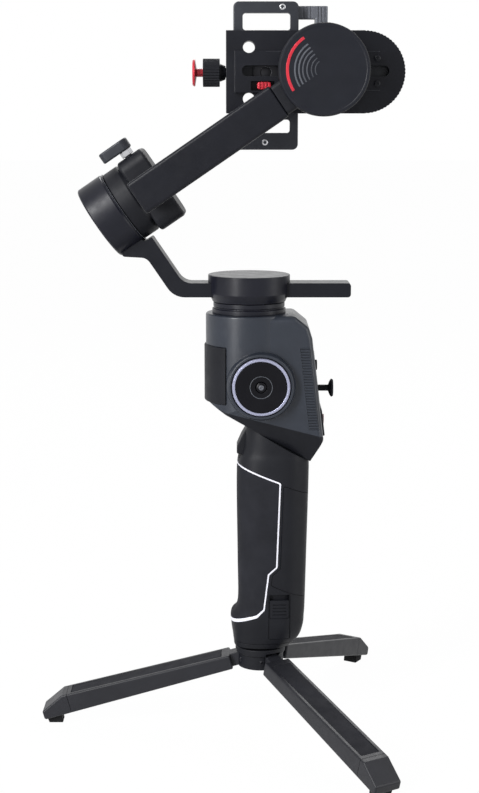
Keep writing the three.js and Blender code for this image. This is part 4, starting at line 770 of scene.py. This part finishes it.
def follow_wheel():
    back = -HEAD_RADIUS + 2.2
    front = back - 6.5
    ring_radius = WHEEL_RADIUS - WHEEL_RING
    disc = turned("y", WHEEL, [
        (3.3, back), (WHEEL_RADIUS - 0.6, back), (WHEEL_RADIUS - 0.6, front + 3.2),
        (ring_radius - 0.15, front + 3),
        (ring_radius - 0.15, front + 0.4), (ring_radius - 0.8, front + 0.5), (3.3, front + 0.9)], 0.2, 128,
                  True)
    skin_of("follow_wheel", disc, "black", "follow_wheel")
    rim = turned("y", WHEEL, [(6.1, front + 0.9), (6.1, front + 0.45), (6.5, front + 0.45),
                              (6.5, front + 0.9)], 0.1,
                 96, True)
    piece(rim, "wheel_inner_ring", "arc", "follow_wheel")
    ring = turned("y", WHEEL, [
        (ring_radius + 0.1, front + 0.3), (WHEEL_RADIUS - 0.5, front + 0.3), (WHEEL_RADIUS, front + 0.9),
        (WHEEL_RADIUS, front + 2.9), (ring_radius + 0.1, front + 2.9)], 0.35, 144, True)
    skin_of("wheel_ring", ring, "silver", "follow_wheel")
    spindle = turned("y", WHEEL, [(0, front + 0.1), (1.7, front + 0.1), (2.9, front + 0.5), (2.9, -17),
                                  (0, -17)], 0.3)
    socket = turned("y", WHEEL, [(0, front - 1), (0.9, front - 1), (0.9, front + 1), (0, front + 1)], 0, 6)
    skin_of("wheel_spindle", cut(spindle, socket), "black", "handle")
    screw_head("y", WHEEL, 1.6, front + 0.35, front - 0.35, "wheel_screw", "handle", look="stop")


def trigger():
    x, z = TRIGGER
    lever = plate("y", rounded([(x + 2.2, z - 2), (x + 2.2, z + 2.2), (x - 3, z + 2.2), (x - 6, z - 3),
                                (x - 8.6, z - 9),
                                (x - 8.6, z - 12.8), (x - 4.6, z - 13.4), (x - 3.4, z - 9), (x - 1, z - 4)],
                               1.2, 4),
                  -8.1, 8.1, 0.6, 4)
    skin_of("trigger", lever, "plastic", "trigger")


# ---- pan axis
ROTOR_BOTTOM = HEAD_TOP + 6.5
ROTOR_TOP = ROTOR_BOTTOM + 15.5
ROTOR_RADIUS = 23.6
BAR_Z = ROTOR_BOTTOM + 7
BAR_HALF = 4.1
BAR_WIDTH = 18


def pan_motor():
    low, high = HEAD_TOP + 0.05, ROTOR_BOTTOM - GAP
    groove = low + 3.1
    collar = turned("z", (0, 0), [
        (6, low), (21.2, low), (21.2, groove - 0.6), (20, groove - 0.3), (20, groove + 0.3),
        (20.6, groove + 0.6),
        (20.6, high), (6, high)], 0.2, 128, True)
    skin_of("pan_collar", collar, "glossy", "handle")
    cap = turned("z", (0, 0), [
        (0, ROTOR_BOTTOM), (21, ROTOR_BOTTOM), (21.4, ROTOR_BOTTOM + 1), (ROTOR_RADIUS, ROTOR_BOTTOM + 5),
        (ROTOR_RADIUS, ROTOR_TOP), (0, ROTOR_TOP)], 0.5, 144)
    half, rise = BAR_WIDTH / 2 + 0.25, BAR_HALF + 0.25
    tunnel = block(-40, 40, -half, half, BAR_Z - rise, BAR_Z + rise)
    cap = cut(cap, tunnel, rod("y", (0, BAR_Z), 2.5, 8, 60, 0))
    skin_of("pan_rotor", cap, "glossy", "pan_rotor")


def clamp_lever():
    """A flat lever with its stem, turning about Z, its arm along +X, and the nut under it."""
    outline = arc(0, 0, 4.6, 90, 270, 14) + arc(10.5, 0, 3.4, -90, 90, 12)
    handle = join(plate("z", outline, 3.7, 9.8, 0.9, 4), rod("z", (0, 0), 2.2, -6, 4.5, 0.2))
    nut = turned("z", (0, 0), [(2.3, 0.4), (3.6, 0.4), (3.6, 3.6), (2.3, 3.6)], 0.2, 6, True)
    return handle, nut


def pan_lever():
    handle, nut = clamp_lever()
    turn = Matrix.Translation((0, ROTOR_RADIUS - 0.2, BAR_Z)) @ Matrix.Rotation(radians(-90), 4, "X")
    skin_of("pan_lever", handle, "grey", "pan_lever", PAN @ turn)
    piece(nut, "pan_lever_nut", "steel", "pan_lever", (), PAN @ turn)


def pan_arm():
    along = Vector((cos(roll_angle), sin(roll_angle)))
    across = Vector((-along.y, along.x))
    centre = Vector(((roll_at.x - pan_at.x) / MM, roll_at.z / MM))

    def riser(u, v):
        return tuple(centre + along * u + across * v)

    def meet(u, z):
        start = Vector(riser(u, 0))
        return riser(u, (z - start.y) / across.y)

    points = [(58.3, BAR_Z - BAR_HALF), (58.3, BAR_Z + BAR_HALF), meet(13.4, BAR_Z + BAR_HALF),
              riser(13.4, -22.8),
              riser(9, -22.6), riser(8, -20.5), riser(-6, -20.5), riser(-6.5, -22.8), riser(4.2, -31),
              meet(4.2, BAR_Z - BAR_HALF)]
    radii = [1.8, 1.8, 9, 0.8, 0.3, 0.3, 0.3, 1.5, 6, 12]
    outline = []
    for i, radius in enumerate(radii):
        trio = [points[i - 1], points[i], points[(i + 1) % len(points)]]
        outline += rounded(trio, radius, 7, False)[1:-1]
    bar = plate("y", outline, -BAR_WIDTH / 2, BAR_WIDTH / 2, 1.1, 4)
    skin_of("pan_arm", bar, "anodised", "pan_arm")


# ---- roll axis
ROLL_RADIUS = 22.4
ARM = (24, 33.4)
ARM_HALF = 9.4
YOKE_TOP = 22


def roll_motor():
    housing = turned("x", (0, 0), [
        (0, -7.6), (ROLL_RADIUS - 0.8, -7.6), (ROLL_RADIUS, -6.8), (ROLL_RADIUS, 7.8),
        (ROLL_RADIUS - 0.5, 8.4),
        (ROLL_RADIUS - 0.5, 9.1), (17.5, 9.1), (17.5, -4.6), (0, -4.6)], 0.5, 144)
    skin_of("roll_housing", housing, "glossy", "pan_arm", ROLL)
    rim = turned("x", (0, 0), [(21.2, 9.15), (22.1, 9.15), (22.1, 9.35), (21.2, 9.35)], 0.08, 144, True)
    piece(rim, "roll_rim", "arc", "roll_rotor", (), ROLL)


def roll_clamp():
    body = turned("x", (0, 0), [(0, 9.45), (21.4, 9.45), (21.4, 18.5), (20, 21), (0, 21)], 0.9, 144)
    yoke = plate("x", box_outline(-17, -23, 17, YOKE_TOP, 7, 8), 20.3, 37, 1.8, 5)
    body = join(body, yoke)
    low, high = ARM
    tunnel = block(low - 0.25, high + 0.25, -60, 60, -ARM_HALF - 0.25, ARM_HALF + 0.25)
    body = cut(body, tunnel, rod("z", (28.7, -10), 2.5, 11, 60, 0))
    skin_of("roll_clamp", body, "plastic", "roll_rotor", ROLL)
    handle, nut = clamp_lever()
    turn = Matrix.Translation((28.7, -10, YOKE_TOP)) @ Matrix.Rotation(pi, 4, "Z")
    skin_of("roll_lever", handle, "grey", "roll_lever", ROLL @ turn)
    piece(nut, "roll_lever_nut", "steel", "roll_lever", (), ROLL @ turn)


TILT_RADIUS = 23.8


def roll_arm():
    low, high = ARM
    slide = plate("x", box_outline(-73, -ARM_HALF, 30, ARM_HALF, 2), low, high, 0.8, 3)
    beam = plate("x", box_outline(-76, -ARM_HALF, -64, ARM_HALF, 2, 6), low, 114, 1.1, 4)
    skin_of("roll_arm", join(slide, beam), "anodised", "roll_arm", ROLL)
    neck = plate("x", box_outline(-75.4, -8.5, -64.4, 8.5, 2, 6), 114.05, ROLL_REACH - 12, 0.6, 3)
    motor = turned("y", (ROLL_REACH, 0), [
        (0, -66), (17.5, -66), (17.5, -79), (TILT_RADIUS - 0.5, -79), (TILT_RADIUS, -78.2),
        (TILT_RADIUS, -65),
        (TILT_RADIUS - 2, -63), (0, -63)], 0.5, 144)
    neck = cut(neck, rod("y", (ROLL_REACH, 0), 17.5, -90, -66, 0, 96))
    body = cut(join(motor, neck), rod("y", (ROLL_REACH, 0), 5.3, -80, -50, 0))
    skin_of("tilt_housing", body, "plastic", "roll_arm", ROLL)


# ---- tilt axis
def tilt_motor():
    edge = TILT_RADIUS - 0.3
    cover = turned("y", TILT, [(0, -80.8), (edge - 1.9, -80.8), (edge - 1.6, -81), (edge - 0.5, -81),
                               (edge, -80.4),
                               (edge, -79.05), (0, -79.05)], 0.2, 160)
    skin_of("tilt_cover", cover, "disc", "roll_arm")
    for k, (radius, width, look) in enumerate([
            (19.2, 1.5, "red"), (15.4, 0.85, "arc"), (13.3, 0.8, "arc"), (11.3, 0.75, "arc_faint"),
            (9.2, 0.7, "arc_faint"), (6.9, 0.6, "arc_dim"), (4.9, 0.6, "arc_dim")]):
        start, end = 169 - 45, 169 + 45
        band = arc(*TILT, radius + width / 2, start, end, 40)
        band += arc(*TILT, radius - width / 2, end, start, 40)
        piece(plate("y", band, -80.95, -80.6, 0.05, 2), f"cover_arc_{k}", look, "roll_arm")
    clamp = turned("y", TILT, [(0, -62.5), (20, -62.5), (20, -55.3), (0, -55.3)], 0.8, 128)
    rails = cut(turned("y", TILT, [(0, -56), (19.5, -56), (19.5, -52.3), (0, -52.3)], 0.3, 128),
                block(-60, 120, -100, 0, TILT[1] - 11.3, TILT[1] + 11.3))
    clamp = cut(join(clamp, rails), rod("y", TILT, 2.5, -59.5, 0, 0))
    skin_of("tilt_clamp", clamp, "plastic", "tilt_rotor")
    x, z = TILT
    outline = arc(x, z, 4.6, 90, 270, 14) + arc(x + 33, z, 3.4, -90, 90, 12)
    lever = join(plate("y", outline, -45.7, -40, 0.9, 4), rod("y", TILT, 2.2, -59, -44, 0.2))
    skin_of("tilt_lever", lever, "grey", "tilt_lever")


# ---- bracket and camera plate
BRACKET = (TILT[0] - 51, TILT[0] + 44.5, 21.7)
SLOT = (BRACKET[0] + 8.6, BRACKET[1] - 8.8)
HOLE_X = BRACKET[0] + 12.2
KNOB_Z = TILT[1] - 0.7
PLATE_X = (BRACKET[0] + 3.9, BRACKET[0] + 38.7)
PLATE_Z = (TILT[1] - 41.5, TILT[1] + 36.5)
PLATE_Y = (-45.7, -39.7)
PAD_RISE = 0.8


def bracket_outline(half, left, right, teeth=0):
    """A bar with a square left end and a round right end, with fine teeth if asked."""
    z = TILT[1] - 0.5
    x = right - BRACKET[2]
    end = []
    steps = 180 if teeth else 36
    for k in range(steps + 1):
        angle = radians(-90 + 180 * k / steps)
        radius = half - (0.13 * (1 + sin(teeth * angle)) if teeth and 0 < k < steps else 0)
        end.append((x + radius * cos(angle), z + radius * sin(angle)))
    return [(left, z - half)] + end + [(left, z + half)]


def plate_holes():
    return [rod("y", (HOLE_X, TILT[1] - 1 + way * 13.5), 3.2, -80, 0, 0) for way in (-1, 1)]


def tilt_bracket():
    left, right, half = BRACKET
    z = TILT[1]
    base = bevelled(plate("y", bracket_outline(half, left, right, 70), -52, -46), 0.4, 2, 50)
    channel = plate("y", bracket_outline(11, SLOT[0] - 4.2, right - 11.5), -55, -51, 0.5, 3)
    slot = plate("y", rounded([(SLOT[0], z - 2.8), (SLOT[1], z - 2.8), (SLOT[1], z + 2.8),
                               (SLOT[0], z + 2.8)],
                              2.7, 8), -80, 0)
    rail = block(PLATE_X[1] + 0.3, PLATE_X[1] + 3.4, -47, PLATE_Y[1], z - 20, z + 20, 0.6)
    latch_left = SLOT[0] + 8
    latch_room = block(latch_left - 3.3, latch_left + 9.3, -70, -49.7, z - 10.3, z - 5.3)
    bracket = cut(join(base, channel, rail), slot, *plate_holes(), latch_room,
                  rod("x", (-43, KNOB_Z), 2.8, -40, PLATE_X[0] + 1, 0))
    skin_of("tilt_bracket", bracket, "anodised", "bracket")
    for way in (-1, 1):
        # Thin grey strips along both edges of the channel: a painted highlight of the light caught on those
        # edges.
        line = block(TILT[0] - 30, right - 14, -55.12, -54.9, z + way * 10.1 - 0.12, z + way * 10.1 + 0.12)
        piece(line, f"channel_edge_highlight_{'low' if way < 0 else 'high'}", "grey", "bracket")
        screw_head("y", (right - 15.3, z + way * 6.6), 1.7, -54.5, -55.18,
                   f"channel_screw_{'low' if way < 0 else 'high'}", "bracket", look="anodised")


def knurled(radius, teeth, depth):
    """A circle with shallow teeth, eight points to a tooth."""
    points = []
    for k in range(teeth * 8):
        angle = 2 * pi * k / (teeth * 8)
        reach = radius - depth * (0.5 + 0.5 * sin(teeth * angle))
        points.append((reach * cos(angle), reach * sin(angle)))
    return points


def clamp_pieces():
    z = TILT[1]
    centre = (-43, KNOB_Z)
    left = BRACKET[0]
    jaw = block(left, PLATE_X[0] - 0.3, -45.7, -39.7, z - 20, z + 20, 0.6)
    skin_of("clamp_jaw", cut(jaw, rod("x", centre, 2.8, -40, 0, 0)), "anodised", "clamp_jaw")
    low, high = left - 12.4, left - 3.4
    stud_end = PLATE_X[0] - 0.7
    grip = plate("x", [(centre[0] + a, centre[1] + b) for a, b in knurled(7.5, 30, 0.5)], low, high, 0.5, 2)
    collar = turned("x", centre, [(0, high - 1), (4.6, high - 1), (4.6, high + 0.6), (3.6, left - 0.3),
                                  (2.5, left - 0.3), (2.5, stud_end), (0, stud_end)], 0.3)
    knob = cut(join(grip, collar), rod("x", centre, 2.5, low - 3, low + 6, 0))
    skin_of("jaw_knob", knob, "plastic", "jaw_knob")
    pin = turned("x", centre, [(0, low - 5.6), (6.5, low - 5.6), (7.2, low - 4.8), (7.2, low - 4.2),
                               (2.2, low - 3.4),
                               (2.2, low + 2.6), (0, low + 2.6)], 0.4)
    skin_of("safety_pin", pin, "red", "safety_pin")
    x = SLOT[0] + 8
    tab = plate("y", box_outline(x, z - 9.6, x + 7.4, z - 5.8, 1.2), -56.6, -50.3, 0.6, 3)
    ridges = [block(x + a, x + a + 0.7, -58, -56, z - 12, z - 3) for a in (1.7, 3.4, 5.1)]
    skin_of("safety_latch", cut(tab, *ridges), "red", "safety_latch")


def quick_plate():
    x0, x1 = PLATE_X
    z0, z1 = PLATE_Z
    front, back = PLATE_Y
    windows = [(z1 - 15, z1 - 6), (z0 + 9, z0 + 16)]
    body = plate("y", box_outline(x0, z0, x1, z1, 3), front, back, 0.7, 3)
    body = join(body, block(x0 + 2, x1 - 2, back - 1, back + PAD_RISE, windows[1][1] + 3, windows[0][0] - 3))
    holes = [plate("y", box_outline(x0 + 5, low, x1 - 4.4, high, 1.5), -80, 0) for low, high in windows]
    middle = (x0 + x1) / 2
    slot = plate("y", box_outline(middle - 3.4, TILT[1] - 14, middle + 3.4, TILT[1] + 10, 3.3, 8), -80, 0)
    seat_line = box_outline(middle - 7.2, TILT[1] - 17.6, middle + 7.2, TILT[1] + 13.6, 7, 8)
    seat = plate("y", seat_line, -80, front + 0.75)
    body = cut(body, *holes, slot, seat, *plate_holes())
    grooves = [block(x0 + 3.5, x1 - 3.5, back + PAD_RISE - 0.3, 0, z1 - 24 - 1.8 * k, z1 - 23.1 - 1.8 * k)
               for k in range(4)]
    skin_of("quick_plate", cut(body, *grooves), "grey", "quick_plate")
    for name, x, z in (("plate_screw_top", x1 - 8.6, z1 - 2.9), ("plate_screw_bottom", x0 + 17, z0 + 4)):
        screw_head("y", (x, z), 2.1, front + 0.7, front - 0.18, name, "quick_plate", look="steel")
    face = back + PAD_RISE
    shank = turned("y", (middle, KNOB_Z), [
        (0, front + 0.6), (2.9, front + 0.6), (2.9, face),
        *[(2.9 - 0.3 * (k % 2), face + 0.3 + 0.4 * k) for k in range(11)],
        (2.3, face + 5), (0, face + 5)], 0.08, 64)
    skin_of("camera_screw", shank, "dark_steel", "camera_screw")
    washer = turned("y", (middle, KNOB_Z), [(2.9, front + 0.1), (6.8, front + 0.1), (6.8, front + 0.6),
                                            (2.9, front + 0.6)], 0.1, 64, True)
    piece(washer, "camera_screw_washer", "dark_steel", "camera_screw")


def camera_stop():
    x1 = PLATE_X[1]
    back = PLATE_Y[1]
    top, right, near = PLATE_Z[1] - 2, x1 + 15.8, back + 0.3
    lug = block(x1 - 3.6, right, near, near + 5, top - 7, top, 0.6)
    post = block(right - 6.6, right, near, near + 14, top - 26, top, 0.6)
    starts = [x1 + 2.5, x1 + 4.5, x1 + 6.5, right - 5.2, right - 3.4, right - 1.6]
    grooves = [block(x, x + 0.7, back, near + 0.35, top - 30, top + 2) for x in starts]
    skin_of("camera_stop", cut(join(lug, post), *grooves), "stop", "camera_stop")


# ---- what stays as the CAD made it
KEPT = {
    "tripod_screw": "steel", "thread_insert": "steel", "battery_pack": "cell", "main_board": "board",
    "pan_stator_core": "copper", "pan_shaft": "steel", "roll_stator_core": "copper", "roll_shaft": "steel",
    "tilt_stator_core": "copper", "tilt_shaft": "steel",
}


def kept_nodes():
    for name, look in KEPT.items():
        node = nodes[name]
        node.data.materials.clear()
        node.data.materials.append(LOOKS[look])
        bevel = node.modifiers.new("bevel", "BEVEL")
        bevel.width = 0.2 * MM
        bevel.segments = 2
        bevel.limit_method = "ANGLE"


# ---- studio
def light(name, place, target, size, power):
    data = bpy.data.lights.new(name, "AREA")
    data.shape = "RECTANGLE"
    data.size, data.size_y = size
    data.energy = power
    lamp = bpy.data.objects.new(name, data)
    bpy.context.scene.collection.objects.link(lamp)
    lamp.location = place
    lamp.rotation_euler = (Vector(target) - Vector(place)).to_track_quat("-Z", "Y").to_euler()


def seen_directly(tree):
    """One where the camera, a reflection or a transparent surface looks, else nought."""
    path = tree.nodes.new("ShaderNodeLightPath")
    total = path.outputs["Is Camera Ray"]
    for way in ("Is Glossy Ray", "Is Transmission Ray"):
        step = tree.nodes.new("ShaderNodeMath")
        step.operation = "MAXIMUM"
        tree.links.new(total, step.inputs[0])
        tree.links.new(path.outputs[way], step.inputs[1])
        total = step.outputs[0]
    return total


def studio():
    world = bpy.data.worlds.new("studio")
    bpy.context.scene.world = world
    world.use_nodes = True
    tree = world.node_tree
    background = tree.nodes["Background"]
    background.inputs["Color"].default_value = (1, 1, 1, 1)
    level = tree.nodes.new("ShaderNodeMapRange")
    level.inputs["To Min"].default_value = 0.25
    level.inputs["To Max"].default_value = 1.0
    tree.links.new(seen_directly(tree), level.inputs["Value"])
    tree.links.new(level.outputs["Result"], background.inputs["Strength"])

    mesh = bpy.data.meshes.new("floor")
    size = 12.0
    corners = [(-size, -size, 0), (size, -size, 0), (size, size, 0), (-size, size, 0)]
    mesh.from_pydata(corners, [], [(0, 1, 2, 3)])
    floor = bpy.data.objects.new("floor", mesh)
    bpy.context.scene.collection.objects.link(floor)
    paint = bpy.data.materials.new("floor")
    paint.use_nodes = True
    tree = paint.node_tree
    shader = tree.nodes["Principled BSDF"]
    shader.inputs["Base Color"].default_value = (0.9, 0.9, 0.9, 1)
    shader.inputs["Roughness"].default_value = 0.9
    glow = tree.nodes.new("ShaderNodeEmission")
    mix = tree.nodes.new("ShaderNodeMixShader")
    share = tree.nodes.new("ShaderNodeMath")
    share.operation = "MULTIPLY"
    share.inputs[1].default_value = 0.985
    tree.links.new(seen_directly(tree), share.inputs[0])
    tree.links.new(share.outputs[0], mix.inputs["Fac"])
    tree.links.new(shader.outputs["BSDF"], mix.inputs[1])
    tree.links.new(glow.outputs["Emission"], mix.inputs[2])
    tree.links.new(mix.outputs["Shader"], tree.nodes["Material Output"].inputs["Surface"])
    mesh.materials.append(paint)

    light("key", (-0.8, -1.0, 0.75), (0, 0, 0.25), (0.22, 1.2), 30)
    light("right", (1.2, -0.4, 0.6), (0, 0, 0.25), (0.3, 1.2), 6)
    light("back", (0.2, 1.2, 1.2), (0, 0, 0.3), (1.0, 0.6), 10)


def camera():
    """A long lens a metre away, looking slightly down on the object."""
    data = bpy.data.cameras.new("camera")
    data.sensor_fit = "VERTICAL"
    data.sensor_height = 24
    data.lens = 47.33
    made = bpy.data.objects.new("camera", data)
    bpy.context.scene.collection.objects.link(made)
    made.location = (pan_at.x - 0.0055, -0.900, 0.361)
    made.rotation_euler = (radians(90 - 10.19), 0, 0)
    bpy.context.scene.camera = made


bpy.context.scene.view_settings.view_transform = "Standard"
camera()
studio()
tripod_hub()
for side, angle in LEG_ANGLES.items():
    tripod_leg(side, angle)
handle_shells()
grip_pieces()
battery_pieces()
base_pieces()
head_shells()
vent_grille()
front_cover()
control_panel()
follow_wheel()
trigger()
pan_motor()
pan_lever()
pan_arm()
roll_motor()
roll_clamp()
roll_arm()
tilt_motor()
tilt_bracket()
clamp_pieces()
quick_plate()
camera_stop()
kept_nodes()
